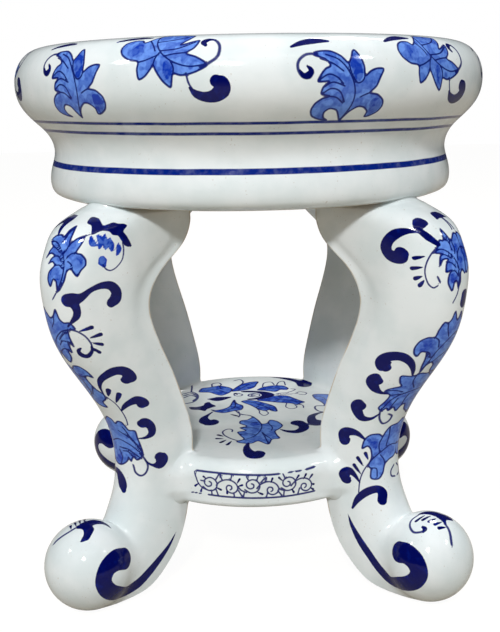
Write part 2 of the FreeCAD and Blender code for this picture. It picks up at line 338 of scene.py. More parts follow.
# %% Leg of the first kind
def first_leg(painter):
    painter.brush([(-14, 9), (-9, 5), (-6, 7), (-3, 13), (1, 19)], [3.0, 4.2, 3.8, 2.0, 0.8])
    painter.leaf([(-4, 22), (-1, 19), (4, 18), (7.5, 19.5), (7.5, 14), (9, 10.5), (12.5, 16), (14.5, 24),
                  (18, 20.5), (22.5, 18.5), (23, 24), (21, 31), (25, 32.5), (29, 37), (30, 42), (27.5, 46),
                  (25.5, 51), (22.5, 47.5), (20, 44), (17.5, 47), (16.5, 54), (13, 61), (11, 62),
                  (10.5, 55), (8, 53), (5.5, 59), (3, 54), (3.5, 47.5), (7.5, 41.5), (4.5, 38.5),
                  (1.5, 40.5), (3, 36), (5.5, 33.5), (1.5, 32), (-1, 33), (-3, 36), (-1.5, 30.5), (1, 27),
                  (-2, 25)],
                 [[(-4, 23), (4, 24), (11, 31), (14.5, 40), (15, 50), (12, 60), (6.5, 68.5)],
                  [(9, 12), (9.5, 18), (8.5, 23)], [(14.5, 24), (13.5, 29), (12, 32)],
                  [(21, 31), (17.5, 32), (15, 36)], [(1, 27), (5, 28), (9, 31)],
                  [(5, 34), (9, 34), (12, 38)], [(7, 42), (11, 41), (14, 44)],
                  [(22, 47), (20, 41), (17, 38)]])
    painter.fill([(5, 46), (10, 43), (13, 48), (12, 55), (9, 50), (6, 52)], tone=0.8)
    painter.fill([(22, 35), (27, 37), (28, 42), (24, 45), (19, 40)], tone=0.5)
    painter.fill([(10, 2), (17, 3), (24, 7), (29, 10), (33, 7.5), (38, 9), (43, 9.5), (48, 12), (49, 16.5),
                  (54, 20.5), (58.5, 25), (62, 30), (56, 28.5), (51.5, 24), (47, 20), (42.5, 19),
                  (38, 16), (32, 15), (27, 18), (24, 14), (20, 10), (14, 7.5)], "dark")
    for start, middle, end in [((27, 19), (30, 24), (33, 26)), ((31, 18), (36, 23), (37, 28)),
                               ((36, 18), (40, 25), (42, 29)), ((41, 21), (45, 27), (47, 31)),
                               ((50, 26), (52, 31), (52, 35))]:
        painter.brush([start, middle, end], [0.7, 2.0, 1.2], "wash", 0.9)
    painter.line([(26, 17), (24, 18), (20, 21)], 0.45)
    painter.line([(53, 25), (56, 32), (57, 40), (54, 46), (50, 48.5), (46, 47), (43, 43)], 0.6)
    painter.brush([(44, 44), (42, 40), (40.5, 37)], [1.5, 3.2, 2.2], "wash", 1.0)
    painter.brush([(18, 69), (22, 68.5), (28, 67), (35, 62.5), (43, 60), (50, 61), (54, 66), (53, 71),
                   (49, 74)], [5.0, 5.0, 3.0, 2.0, 2.7, 3.5, 4.2, 4.6, 3.6])
    painter.brush([(21, 70), (23, 76), (22, 81), (17, 86), (14, 89)], [4.0, 3.0, 2.6, 1.2, 0.6])
    painter.leaf(
        [(-9, 79), (-4, 79.5), (0, 83), (4, 81), (7, 76), (9, 83), (12, 86), (16, 86), (19, 91), (14, 91.5),
         (13, 97), (13.5, 105), (10.5, 101), (10, 111), (7.5, 108), (7, 116), (3, 121), (0, 117),
         (-2, 111), (-5, 120), (-9, 125)],
        [[(19, 91), (10, 92), (3, 97), (-3, 104), (-9, 116)], [(4, 81), (3, 86), (0, 90)],
         [(13, 93), (9, 95), (4, 100)], [(10, 101), (6, 101), (2, 105)], [(8, 108), (4, 108), (0, 111)]])
    painter.fill([(-9, 84), (-3, 84), (0, 90), (-5, 96), (-9, 96)], tone=0.5)
    painter.line([(15, 91), (20, 93), (24.5, 97.5), (26.5, 104), (25, 110)], 0.75)
    painter.brush([(26, 106), (25, 110), (20, 114.5), (16, 113), (15.5, 109), (18, 107)],
                  [0.9, 1.2, 1.7, 2.1, 1.4, 0.8])
    painter.drops([((21, 93), (31, 90.5)), ((27, 99), (36, 97)), ((27, 103), (34, 105.5)),
                   ((26, 107), (29.5, 112))])
    painter.leaf([(-9, 118), (-4, 124), (0, 128), (3, 125), (8, 124.5), (12, 129), (13.5, 136), (10, 134),
                  (7.5, 136.5), (7.5, 142), (9, 149), (12, 154), (11, 159), (6.5, 163), (7.5, 168),
                  (3, 168), (-2, 166), (-6, 161), (-9, 158)],
                 [[(-4, 124), (0, 132), (2, 142), (1, 152), (-3, 160)], [(8, 145), (5, 150), (2, 155)],
                  [(9, 134), (4, 136), (1, 134)]])
    painter.fill([(2, 128), (8, 127), (10, 132), (5, 134), (3, 142)], tone=0.6)
    painter.brush([(12, 154), (13.5, 146), (18, 138.5), (26, 133.5), (33, 131.5), (39, 133.5), (40, 139),
                   (35, 142)], [0.6, 1.2, 2.3, 3.2, 4.0, 5.4, 5.4, 3.6])
    painter.drops([((14.5, 156), (18, 149.5)), ((17, 163), (23.5, 154.5))], 2.0)
    painter.line([(10, 150), (13, 157), (16, 164), (17, 172), (17, 180), (16, 186)], 0.5)
    painter.brush([(17, 171.5), (22, 167), (28, 164), (34, 163), (37, 166), (34, 168)],
                  [0.7, 2.0, 2.8, 4.2, 4.6, 3.4])
    painter.leaf([(-9, 186), (-5, 183), (0, 179.5), (4, 181), (6, 185), (9, 182.5), (12, 183), (13.5, 187),
                  (15, 191), (19.5, 192), (19.5, 199), (20.5, 207), (21, 213), (18.5, 217), (15.5, 218),
                  (13, 215), (11, 219.5), (9, 216), (8, 219), (5, 222), (0, 224.5), (-5, 224), (-9, 219)],
                 [[(21, 214), (12, 204.5), (3, 200.5), (-6, 204)], [(20, 210), (13, 198), (6, 192)],
                  [(19, 207), (14, 197), (11, 188)], [(19, 217), (10, 209), (2, 208)],
                  [(13, 215), (9, 211), (5, 211)], [(1, 223), (3, 217), (1, 211)]])
    painter.fill([(-3, 212), (2, 211), (4, 217), (0, 222), (-5, 221)], tone=0.7)
    painter.brush([(19.5, 199), (26, 199), (31.5, 196), (33, 190), (30.5, 185.5), (27, 186)],
                  [0.6, 1.3, 2.8, 3.8, 4.6, 3.8])
    painter.line([(19, 213), (22, 218), (24, 224), (22, 230), (18, 232), (14, 229), (12.5, 223)], 0.85)
    painter.brush([(22, 218), (25, 222), (29, 224), (33, 223.5), (36, 220), (34, 218)],
                  [0.6, 0.9, 1.6, 4.6, 5.4, 4.4])
    painter.brush([(-9, 232), (-4, 232.5), (0, 237), (3, 243.5), (4.5, 247)], [2.4, 3.4, 4.8, 4.6, 2.6])


# %% Leg of the second kind
def second_leg(painter):
    painter.brush([(-4, 11), (-1, 8.5), (3, 8)], [0.8, 2.6, 3.0])
    painter.line([(2.5, 11), (1.5, 20)], 0.7)
    painter.leaf([(-17, 30), (-15, 27), (-12, 27.5), (-11, 23), (-10, 18.5), (-8, 23), (-6, 28), (-3, 25.5),
                  (0, 23), (3, 26), (3, 52), (1, 56), (-2, 52), (-4, 56), (-4, 62), (-6, 66), (-7.5, 61),
                  (-9.5, 61), (-11, 68), (-14.5, 62), (-14, 56), (-12, 52), (-16, 53.5), (-15, 47),
                  (-13, 42.5), (-17, 43), (-20, 48.5), (-18.5, 41), (-16.5, 37.5), (-21, 37)],
                 [[(-22, 37), (-17, 34), (-12, 36), (-8, 42), (-5.5, 50), (-5, 60), (-6, 70), (-9, 77)],
                  [(-11, 25), (-8, 30), (-8, 35)], [(-6, 28), (-5, 33), (-6, 38)],
                  [(-18, 38), (-14, 39), (-10, 42)], [(-15, 45), (-11, 46), (-8, 50)],
                  [(-13, 53), (-9, 53), (-6, 58)], [(1, 34), (-3, 38), (-5, 45)]])
    painter.fill([(-5, 33), (0, 30), (3, 34), (2, 46), (-4, 46)], tone=0.7)
    painter.fill([(-13, 57), (-10, 54), (-7, 58), (-9, 62), (-12, 62)], tone=0.8)
    painter.brush([(-18, 12), (-22, 14), (-26, 18), (-22.5, 24), (-17, 30)], [3.4, 3.6, 2.6, 3.2, 2.0])
    painter.brush([(-29, 20), (-36, 20), (-44, 22.5), (-52, 28), (-56, 35), (-54, 41), (-48, 42),
                   (-45, 38)], [1.4, 2.5, 3.3, 3.6, 4.4, 5.4, 5.8, 5.2])
    painter.line([(-18, 32), (-24, 38), (-29, 46), (-31, 54), (-29, 62), (-25, 65.5), (-22, 64)], 0.6)
    painter.line([(-22, 57.5), (-20.5, 61)], 0.8)
    painter.drops([((-29, 40), (-37, 42)), ((-32, 49.5), (-40, 51)), ((-33, 57), (-38, 59)),
                   ((-31.5, 60), (-34.5, 64))], 1.8)
    painter.brush([(2.5, 72), (3, 78)], [3.6, 4.6])
    painter.leaf([(3, 88), (0, 91.5), (-2, 90), (-5, 84), (-7, 90), (-9.5, 92.5), (-12.5, 92), (-15, 98),
                  (-16, 104), (-21, 104.5), (-25.5, 108), (-27, 114), (-25.5, 119), (-22, 122),
                  (-21, 117.5), (-17, 118), (-15, 124), (-14, 131), (-12, 138), (-11, 131), (-8, 128),
                  (-5, 131), (-4, 137), (3, 140)],
                 [[(-12, 139), (-11, 128), (-9, 116), (-4, 107), (3, 101)],
                  [(-16, 104), (-12, 107), (-10, 113)], [(-9, 92), (-8, 98), (-5, 104)],
                  [(-17, 117), (-14, 119), (-12, 123)], [(3, 118), (-3, 122), (-8, 128)]])
    painter.fill([(-24, 108), (-18, 107), (-15, 112), (-18, 117), (-25, 116)], tone=0.6)
    painter.brush([(-16, 141), (-19, 134.5), (-24, 128), (-32, 123.5), (-40, 124), (-45, 128), (-41, 134),
                   (-38, 136)], [0.8, 1.8, 2.8, 3.8, 4.8, 6.0, 5.6, 3.4])
    painter.leaf([(3, 141), (-5, 140), (-10, 139), (-13, 140.5), (-17, 142), (-24, 142), (-22, 148),
                  (-18.5, 152.5), (-22, 154), (-27, 156.5), (-28, 159), (-22.5, 162), (-23, 168),
                  (-25.5, 175), (-22, 178), (-19.5, 175), (-17, 177.5), (-14.5, 174), (-11, 178), (-9, 173),
                  (-6, 171.5), (-4, 177), (0, 180), (3, 180)],
                 [[(3, 156), (-4, 157), (-13, 160), (-19, 166), (-23, 178)],
                  [(-13, 141), (-12, 148), (-8, 154)], [(-22, 162), (-17, 161), (-12, 160)],
                  [(-17, 176), (-16, 170), (-15, 165)], [(-9, 172), (-9, 166), (-8, 161)],
                  [(-27, 158), (-21, 157), (-15, 158)]])
    painter.fill([(-21, 144), (-15, 144), (-11, 150), (-14, 154), (-19, 150)], tone=0.5)
    painter.fill([(-22, 166), (-19, 168), (-17, 173), (-21, 175), (-24, 173)], tone=0.7)
    painter.brush([(-24, 161), (-31, 160), (-37, 156.5), (-42, 150.5), (-43, 147), (-37, 150)],
                  [0.6, 1.7, 3.4, 5.0, 5.0, 3.2])
    painter.brush([(-22.5, 181), (-27, 186), (-34, 186.5), (-40, 181), (-43.5, 174.5), (-39, 176)],
                  [0.7, 1.5, 2.8, 4.0, 5.0, 4.0])
    painter.line([(-23, 178), (-21, 185), (-17, 190), (-13, 188), (-12, 183), (-15, 181)], 0.85)
    painter.leaf([(3, 189), (-3, 191.5), (-9, 193), (-12, 198), (-13.5, 202), (-17, 200), (-23, 201),
                  (-27, 205.5), (-28, 213.5), (-24, 211), (-21, 214), (-20, 221), (-22.5, 228),
                  (-20.5, 231), (-21, 239), (-15, 240), (-11, 235), (-9, 227.5), (-5, 224), (3, 219)],
                 [[(3, 212), (-5, 211), (-12, 215.5), (-19, 222), (-26, 232), (-30, 241), (-33, 252)],
                  [(-13, 202), (-15, 209), (-14, 216)], [(-9, 195), (-8, 203), (-9, 211)],
                  [(-20, 230), (-16, 231), (-16, 238)], [(-9, 228), (-10, 223), (-13, 219)]])
    painter.fill([(-25, 206), (-20, 203), (-16, 206), (-17, 213), (-22, 210)], tone=0.8)
    painter.brush([(-26.5, 205.5), (-34, 201), (-41, 200.5), (-45, 203), (-43.5, 208)],
                  [0.8, 2.3, 3.8, 5.0, 5.0])
    painter.drops([((-22.5, 223), (-25, 217.5)), ((-26.5, 228.5), (-31, 222)),
                   ((-28.5, 236), (-34, 228.5))], 1.6)
    painter.brush([(-30.5, 243), (-34, 237), (-38, 234), (-41.5, 236), (-41, 240.5)],
                  [0.7, 2.0, 3.2, 4.4, 4.2])
    painter.brush([(-42.5, 265), (-35, 257), (-26, 251), (-17.5, 249), (-14, 253), (-16, 259.5)],
                  [0.8, 2.5, 3.2, 3.4, 4.0, 3.8])
    painter.line([(1, 231), (-3, 235), (-3, 240), (1, 241.5)], 0.8)


# %% [markdown]
# ## The scrolls on the feet
# A long comma runs down the inner edge of each leg, swells under the ball and curls
# round its side. A forked leaf with a few dashes lies on top of the ball. The comma
# is measured out from the stool's axis and up from the floor, as the side of the foot
# is seen; the forked leaf out from the axis and across the foot, as seen from above.

# %% Foot scrolls
def low_comma(painter):
    painter.brush([(124, 47), (132, 38), (143, 29.5), (155, 22), (166, 16.5), (177, 15), (188, 20),
                   (197, 27), (200.5, 36), (196, 44.5), (187, 47.5), (178, 45)],
                  [0.3, 1.6, 2.9, 3.8, 4.8, 5.6, 6.4, 6.4, 6.2, 6.6, 7.4, 7.6])


def high_comma(painter):
    painter.brush([(130.5, 61), (135, 52), (144, 40.5), (155, 30.5), (165, 23), (175, 17.5), (186, 21.5),
                   (197, 27.5), (202, 36), (198, 44.5), (190, 48), (183, 47)],
                  [0.3, 1.8, 3.0, 3.4, 4.2, 5.2, 6.4, 6.6, 6.4, 6.8, 7.2, 7.4])


def forked_leaf(painter):
    painter.fill([(176, 13), (175.5, 6), (179, -2), (189, -4), (199, -2), (197, 4), (199.5, 9), (205, 12),
                  (200, 15), (195.5, 13.5), (190, 10), (188.5, 6), (183, 6), (178.5, 8.5)], "dark")
    painter.line([(198, -2), (205, -4.5), (213, -11)], 1.1)
    painter.drops([((189, -4), (184, -11)), ((193, -4), (188, -12.5)), ((197, -4), (192.5, -12)),
                   ((201, -5), (197.5, -11))], 1.1)


def curled_leaf(painter):
    painter.fill([(181, -4), (186, -1), (193, 1), (199, 0.5), (205, 0), (201.5, 5), (203, 12), (198, 17),
                  (193, 12), (187, 10), (182, 4)], "dark")
    painter.line([(203, 0), (209, -2.5), (215, -8.5)], 1.1)
    painter.drops([((191, -1), (189, -9)), ((196, -1), (194, -8)), ((201, -1), (199, -7.5)),
                   ((206, -2), (203, -8)), ((187, -3), (185, -12))], 1.4)
    painter.line([(182, -4), (180.5, -12), (183.5, -18), (189, -21), (194, -19), (196, -16)], 0.8)
    painter.brush([(195.5, -18), (195.5, -15.5), (193, -15)], [1.0, 1.9, 1.2])


# %% [markdown]
# ## The flower on the shelf and the scroll round its edge
# The shelf's top carries one large flower, drawn from the front. Its heart is a dark
# ring round a curl, and leaves and hooks spread from it. Round the edge runs a band of
# small scrolls between two lines, once in each bay between two legs. Seen from above,
# places are in millimetres to the right of the axis and towards the back.

# %% Shelf flower
def shelf_flower(painter):
    painter.leaf([(8, 40), (17, 45), (25, 48), (33, 46), (38, 40), (44, 32), (48, 27), (43, 23), (41, 20),
                  (36, 24), (30, 26), (22, 28), (15, 31), (8, 33), (4, 36)],
                 [[(8, 37), (18, 38), (30, 35), (45, 27)], [(20, 30), (24, 35)], [(24, 47), (26, 42)]], 0.7)
    painter.leaf([(-5, 36), (3, 33), (10, 27), (17, 20), (20, 14), (21, 3), (17, 4), (14, 7.5), (10, 5),
                  (6, 8), (2, 14), (-3, 22), (-8, 28), (-11, 33)],
                 [[(-7, 33), (3, 26), (10, 17), (18, 6)], [(2, 14), (5, 19)], [(17, 20), (12, 18)]], 0.8)
    painter.leaf([(-18, 38), (-20, 30), (-22, 20), (-27, 13), (-35, 9), (-39, 11), (-35, 5), (-27, 2),
                  (-18, 7), (-12, 9), (-10, 16), (-11, 22), (-15, 26), (-17, 32)],
                 [[(-18, 35), (-17, 24), (-19, 14), (-30, 6)], [(-12, 12), (-16, 16)]], 0.6)
    painter.leaf([(-20, 64), (-16, 76), (-10, 86), (-2, 92), (6, 93), (4, 84), (2, 76), (-3, 70),
                  (-10, 66)],
                 [[(-14, 67), (-8, 78), (2, 90)]], 1.0)
    painter.leaf([(-52, 64), (-50, 75), (-42, 78), (-33, 82), (-24, 77), (-20, 70), (-23, 60), (-30, 52),
                  (-36, 56), (-42, 62)],
                 [[(-48, 68), (-36, 70), (-25, 60)], [(-33, 81), (-31, 73)]], 0.7)
    painter.leaf([(5, 66), (10, 74), (20, 79), (30, 78), (35, 70), (33, 65), (27, 66), (22, 60), (12, 64)],
                 [[(8, 66), (20, 70), (33, 70)]], 0.8)
    painter.leaf([(58, 48), (68, 49), (78, 44), (80, 30), (75, 18), (68, 15), (64, 26), (59, 36)],
                 [[(60, 46), (68, 36), (70, 18)]], 0.4)
    painter.fill([(-12, 63), (-5, 65), (5, 63), (13, 60.5), (19, 55.5), (21, 50), (18, 44), (12, 40),
                  (4, 37.5), (-4, 37), (-6, 40), (1, 42), (6, 45.5), (8.5, 50), (6.5, 55), (2, 58.5),
                  (-4, 59.5), (-9, 60)], "dark")
    painter.line([(1, 56), (6, 53), (6, 48), (1, 45.5), (-4, 48), (-4, 53), (0, 56)], 0.7)
    painter.line([(3, 51), (0, 49), (-1.5, 51.5), (1, 53.5)], 0.8)
    painter.line([(-14, 57.5), (-18, 55), (-17, 50), (-12, 49), (-10, 53), (-14, 57)], 0.7)
    painter.brush([(-17, 57), (-15, 54)], [1.8, 1.0])
    for reach, bend in [(34, 56.5), (44, 53.5), (38, 50.5)]:
        painter.line([(21, 52), (0.5 * reach + 12, bend), (reach, bend - 1)], 0.4)
    painter.line([(34, 57), (39, 61), (42, 66), (38, 68)], 0.6)
    painter.line([(42, 54), (46, 58), (52, 54), (50, 49), (45, 50)], 0.6)
    painter.brush([(-43, 42), (-34, 41.5), (-22, 46)], [1.0, 6.0, 1.6])
    painter.fill([(-60, 20), (-58, 13), (-50, 11), (-45, 7.5), (-43, 13), (-38, 18), (-35, 21), (-39.5, 28),
                  (-42, 33.5), (-46, 30), (-47, 24), (-53, 20)], "dark")
    for inner in (0.0, 5.0, 10.0):
        painter.line([(-69 + 0.3 * inner, 58 - inner), (-60, 64 - inner), (-54, 57 - inner),
                      (-53 - 0.4 * inner, 45 - 0.6 * inner), (-57, 34), (-64, 30)], 0.9)
    painter.line([(-60, 64), (-60, 79)], 0.9)
    painter.line([(-40, 80), (-40, 89), (-34, 92), (-31, 86), (-33, 81)], 0.8)
    painter.brush([(-38, 5), (-42, -3), (-45, -11), (-44, -19), (-40, -22)], [0.8, 1.6, 3.6, 6.0, 8.4])
    painter.brush([(64, -2), (58, -5), (52, -12), (51, -22), (54, -29)], [0.8, 1.8, 3.2, 4.6, 8.0])
    painter.brush([(22, -44), (28, -49), (36, -50), (42, -43), (42, -35), (38, -29)],
                  [0.8, 2.6, 4.0, 4.4, 5.0, 6.6])
    painter.brush([(-6.5, -74), (-8, -84), (-6.5, -94), (-2, -101), (0.5, -98)], [1.2, 2.8, 4.8, 7.6, 6.6])
    painter.leaf([(-1, -12), (3, -20), (6, -29), (11, -28), (14, -20), (20, -24), (24, -34), (21, -42),
                  (17, -48), (18, -57), (20, -65), (13.5, -67), (10, -78), (2, -70), (-4, -75), (-12, -74),
                  (-16, -70), (-10, -65), (-13, -56), (-15, -48), (-8, -45), (-13, -38), (-7, -34),
                  (-13, -27), (-12, -20), (-6, -18)],
                 [[(-1, -10), (4, -22), (6, -36), (3, -50), (-3, -61), (-14, -69)],
                  [(12, -28), (15, -38), (14, -46)], [(6, -52), (8, -62), (10, -76)],
                  [(-12, -21), (-4, -24), (2, -26)], [(-13, -38), (-4, -38), (3, -42)],
                  [(-13, -54), (-5, -53), (0, -56)], [(13, -66), (9, -58), (6, -50)]])
    painter.fill([(-9, -24), (-1, -20), (4, -30), (-2, -34)], tone=0.6)
    painter.line([(-17, 8), (-14, 0), (-10, -4), (-4, -7), (0, -13)], 0.8)
    painter.brush([(-21, -3), (-17, -6), (-14, -9)], [0.7, 1.4, 0.8])
    painter.line([(-14, 4), (-13, -5), (-14, -10)], 0.7)
    painter.line([(-16, -68), (-22, -62), (-27, -54), (-28, -46), (-24, -40.5), (-20, -42), (-20, -47)],
                 0.75)
    painter.drops([((-27, -58), (-32, -54)), ((-27, -63), (-33, -62.5)), ((-25, -66), (-29.5, -71.5)),
                   ((-20.5, -69), (-24, -77))])
    painter.brush([(0, 112), (18, 111), (34, 102), (46, 91), (52, 80)], [1.0, 3.0, 3.2, 4.0, 7.6])
    painter.line([(-18, 98), (-12, 101), (-9, 92), (-13, 80)], 0.8)
    painter.line([(10, 76), (12, 88), (19, 91), (22, 82)], 0.7)
    painter.line([(24, 79), (27, 90), (32, 92), (33, 80)], 0.7)
    painter.line([(66, 15), (58, 15), (56.5, 8), (59, 1), (63, -2)], 0.9)
    painter.line([(2, 14), (5, 5), (5, -1), (9, -8), (13, -2), (11, 5)], 0.6)
    painter.line([(31, 24), (30, 14), (35, 9), (40, 13), (38, 22)], 0.6)
    painter.line([(43, 22), (46, 17), (46, 11)], 0.6)


# %% Scroll band
SCROLL_LINE = 0.64


def scroll_band(painter, middle):
    """One bay's band, centred on a place round the edge."""
    painter.put(middle)
    painter.line([(-50, 101), (-30, 100.9), (-10, 100.4), (8, 100.1), (17, 100.3)], 0.8)
    painter.line([(25, 100.7), (28, 100.8)], 0.7)
    painter.line([(31, 100.8), (35, 100.9)], 0.7)
    painter.line([(40, 101.2), (47, 102)], 0.9)
    painter.line([(-40, 82), (-20, 81.4), (0, 81), (20, 81), (35, 81.5), (46.5, 82)], 0.8)
    for dot in (-54.5, -51.5, -48):
        painter.line([(dot, 82), (dot + 1.4, 82.3)], 0.6)
    painter.line([(-52, 99.5), (-50.5, 95.5), (-48.8, 91), (-45.5, 87.5), (-41, 85.9)], SCROLL_LINE)
    upper = [(-6, -3), (-2, -5.6), (2.5, -5.2), (5.3, -2.4), (5.6, 1.3), (3.2, 4.5), (-0.5, 5.4),
             (-4.3, 3.2), (-4.6, -0.3), (-2, -2.3), (0.8, -1.2), (0.9, 1.2), (-0.6, 1.9)]
    lower = [(-11.3, 2.5), (-8.5, 5.6), (-4, 7.6), (0.5, 7.4), (4.3, 5), (6, 1.3), (4.6, -2), (1.6, -3.4),
             (-1.8, -2.3), (-3.2, 0.6), (-1.8, 3), (0.8, 2.5), (1.2, 0.4), (0, -0.6)]
    for x, y in ((-38.5, 91.4), (-4.3, 91.2), (24.7, 91.6)):
        painter.put(middle + x, y)
        painter.line(upper, SCROLL_LINE)
    for x, y in ((-22, 88.3), (10.5, 86.8), (38, 87)):
        painter.put(middle + x, y)
        painter.line(lower, SCROLL_LINE)
    painter.put(middle)
    for start, way, end in (((-15.7, 90.5), (-13.2, 87.6), (-9, 85.8)),
                            ((16.4, 88.6), (18.5, 87), (21, 86.2))):
        painter.line([start, way, end], SCROLL_LINE)
    for start, end in (((-31, 100.4), (-33.6, 95.6)), ((-30.6, 100.4), (-28.6, 96)),
                       ((-20.4, 100.6), (-21.6, 96.4)), ((-9.6, 100.2), (-7.4, 96.2)),
                       ((0.5, 100), (-0.8, 96.2)), ((20.3, 99.6), (21.8, 96.6)), ((-37.6, 86), (-37, 82.2)),
                       ((-33.6, 87), (-31.8, 82)), ((-19.2, 85), (-18.8, 81.8)),
                       ((-15.4, 87.2), (-12.4, 82)), ((-10.8, 86), (-11.6, 82)), ((7.6, 85.2), (6.6, 82)),
                       ((15.8, 86.4), (19, 82)), ((21, 86.2), (20.4, 81.8)), ((33.6, 86.6), (32.2, 82.2)),
                       ((5.4, 94), (7, 97.2)), ((2.4, 94.2), (5.6, 98)), ((5.6, 98), (7, 97.2)),
                       ((-46.4, 93.4), (-43, 93.2))):
        painter.line([start, end], SCROLL_LINE)
    painter.drops([((-48.6, 90.4), (-51.5, 88)), ((-45.4, 87.4), (-46.6, 84)), ((-41.8, 95.6), (-44, 97)),
                   ((-16.4, 93.6), (-14.4, 97)), ((-15.4, 91), (-12.4, 92)), ((-24.8, 88), (-24.6, 84.6)),
                   ((-33.4, 88.8), (-29.6, 87.2)), ((-0.2, 86), (3.4, 84.2)), ((10.4, 93.8), (11.6, 97.2)),
                   ((19.4, 94.8), (16.8, 97.4)), ((30.4, 94.2), (33, 97.4)), ((27, 86.8), (28.8, 83.8)),
                   ((37, 94), (39.2, 97.6)), ((41.6, 92.8), (44.6, 96.4)), ((43.8, 88.6), (45.8, 88)),
                   ((42.8, 85.6), (45.4, 83.6))], 1.0)
    painter.put()


# %% [markdown]
# ## Turning a shape into a skin
# Every skin goes through the same last steps. Its doubled seam is merged, open ends
# are filled, faces are pointed outwards, and the shading is made smooth with sharp
# edges kept where the clay really has a corner.

# %% Reading and moving a mesh
def places(mesh):
    """The places of the vertices, one row each, in millimetres."""
    flat = np.empty(len(mesh.vertices) * 3)
    mesh.vertices.foreach_get("co", flat)
    return flat.reshape(-1, 3) / mm


def move(mesh, rows):
    """Put the vertices at these places, given in millimetres."""
    mesh.vertices.foreach_set("co", (rows * mm).astype(np.float32).ravel())
    mesh.update()


def normals(mesh):
    """The direction in which each vertex faces."""
    flat = np.empty(len(mesh.vertices) * 3)
    mesh.vertex_normals.foreach_get("vector", flat)
    return flat.reshape(-1, 3)


# %% Closing a shape
def close(shape, name, corner=55.0):
    """Merge, fill, point outwards and shade a bmesh, and give it back as a mesh."""
    bmesh.ops.remove_doubles(shape, verts=shape.verts, dist=0.02 * mm)
    bmesh.ops.holes_fill(shape, edges=shape.edges, sides=0)
    bmesh.ops.recalc_face_normals(shape, faces=shape.faces)
    for face in shape.faces:
        face.smooth = True
    for edge in shape.edges:
        edge.smooth = edge.calc_face_angle(0.0) < math.radians(corner)
    print(name, "edges without two faces:", sum(1 for edge in shape.edges if len(edge.link_faces) != 2))
    mesh = bpy.data.meshes.new(name)
    shape.to_mesh(mesh)
    shape.free()
    return mesh


# %% Sheets and turned shapes
def sheet(columns, rows):
    """A sheet of squares, and the column and row of each of its vertices from 0 to 1."""
    shape = bmesh.new()
    bmesh.ops.create_grid(shape, x_segments=columns, y_segments=rows, size=1)
    return shape, np.array([(v.co.x, v.co.y) for v in shape.verts]) * 0.5 + 0.5


def set_places(shape, rows):
    """Put a bmesh's vertices at these places, given in millimetres."""
    for vertex, place in zip(shape.verts, (rows * mm).tolist()):
        vertex.co = place


def spun(outline, steps, name):
    """A closed outline of radius and height, turned once round the axis."""
    shape = bmesh.new()
    ring = [shape.verts.new((radius * mm, 0, height * mm)) for radius, height in outline]
    edges = [shape.edges.new(pair) for pair in zip(ring, ring[1:] + ring[:1])]
    bmesh.ops.spin(shape, geom=ring + edges, cent=(0, 0, 0), axis=(0, 0, 1), angle=2 * math.pi,
                   steps=steps, use_merge=True)
    return close(shape, name)


def rolled(outline, steps, name):
    """The same from a sheet of squares, which is much faster where the faces are many."""
    outline = np.array(outline)
    shape, share = sheet(steps, len(outline))
    turn = 2 * math.pi * share[:, 0]
    row = np.rint(share[:, 1] * len(outline)).astype(int) % len(outline)
    radius, height = outline[row].T
    set_places(shape, np.column_stack([radius * np.cos(turn), radius * np.sin(turn), height]))
    return close(shape, name)


# %% [markdown]
# ## Curves with an even bend
# A glossy surface shows every jump in its curvature as a kink in its reflections. A
# natural cubic spline has none, so it carries the seat's profile and the legs'
# sections. Its bends come from one small set of equations.

# %% Even bends
def spline(knots, values, wanted):
    """A natural cubic spline through values at knots, read at the wanted places."""
    span = np.diff(knots)
    slope = np.diff(values, axis=0) / span[:, None]
    system, right = np.eye(len(knots)), np.zeros_like(values)
    for i in range(1, len(knots) - 1):
        system[i, i - 1:i + 2] = span[i - 1], 2 * (span[i - 1] + span[i]), span[i]
        right[i] = 6 * (slope[i] - slope[i - 1])
    bend = np.linalg.solve(system, right)
    i = np.clip(np.searchsorted(knots, wanted) - 1, 0, len(knots) - 2)
    b = ((wanted - knots[i]) / span[i])[:, None]
    a = 1 - b
    return (a * values[i] + b * values[i + 1]
            + ((a**3 - a) * bend[i] + (b**3 - b) * bend[i + 1]) * (span[i]**2)[:, None] / 6)


def sweep(points, step):
    """Points an even step apart on the spline through the given ones."""
    points = np.array(points, float)
    run = lengths(points)
    fine = spline(run, points, np.linspace(0, run[-1], 4000))
    return even(fine, step)


# %% [markdown]
# ## The seat
# A potter throws the seat as a drum with a rolled rim. Its wall is one profile turned
# round the axis, so it is spun from that profile: up from the rounded lower band, in
# to the waist, and out and over the rim. The wall has its thickness, so the piece is
# a real shell. The rim carries fine painting and gets small faces. The lower band has
# only a ruled line and gets larger ones. So that no piece grows too heavy, the wall is
# cut into a band and three rings of rim. The first cut lies where the profile turns
# from hollow to round, and every part takes its shading from the whole profile, so
# the cuts don't show.

# %% Seat profile
band_radius = rim_radius - band_inset
waist_radius = rim_radius - waist_inset
flat_radius = rim_radius - flat_inset


def seat_point(radius, share):
    return (radius, seat_low + share * seat_depth)


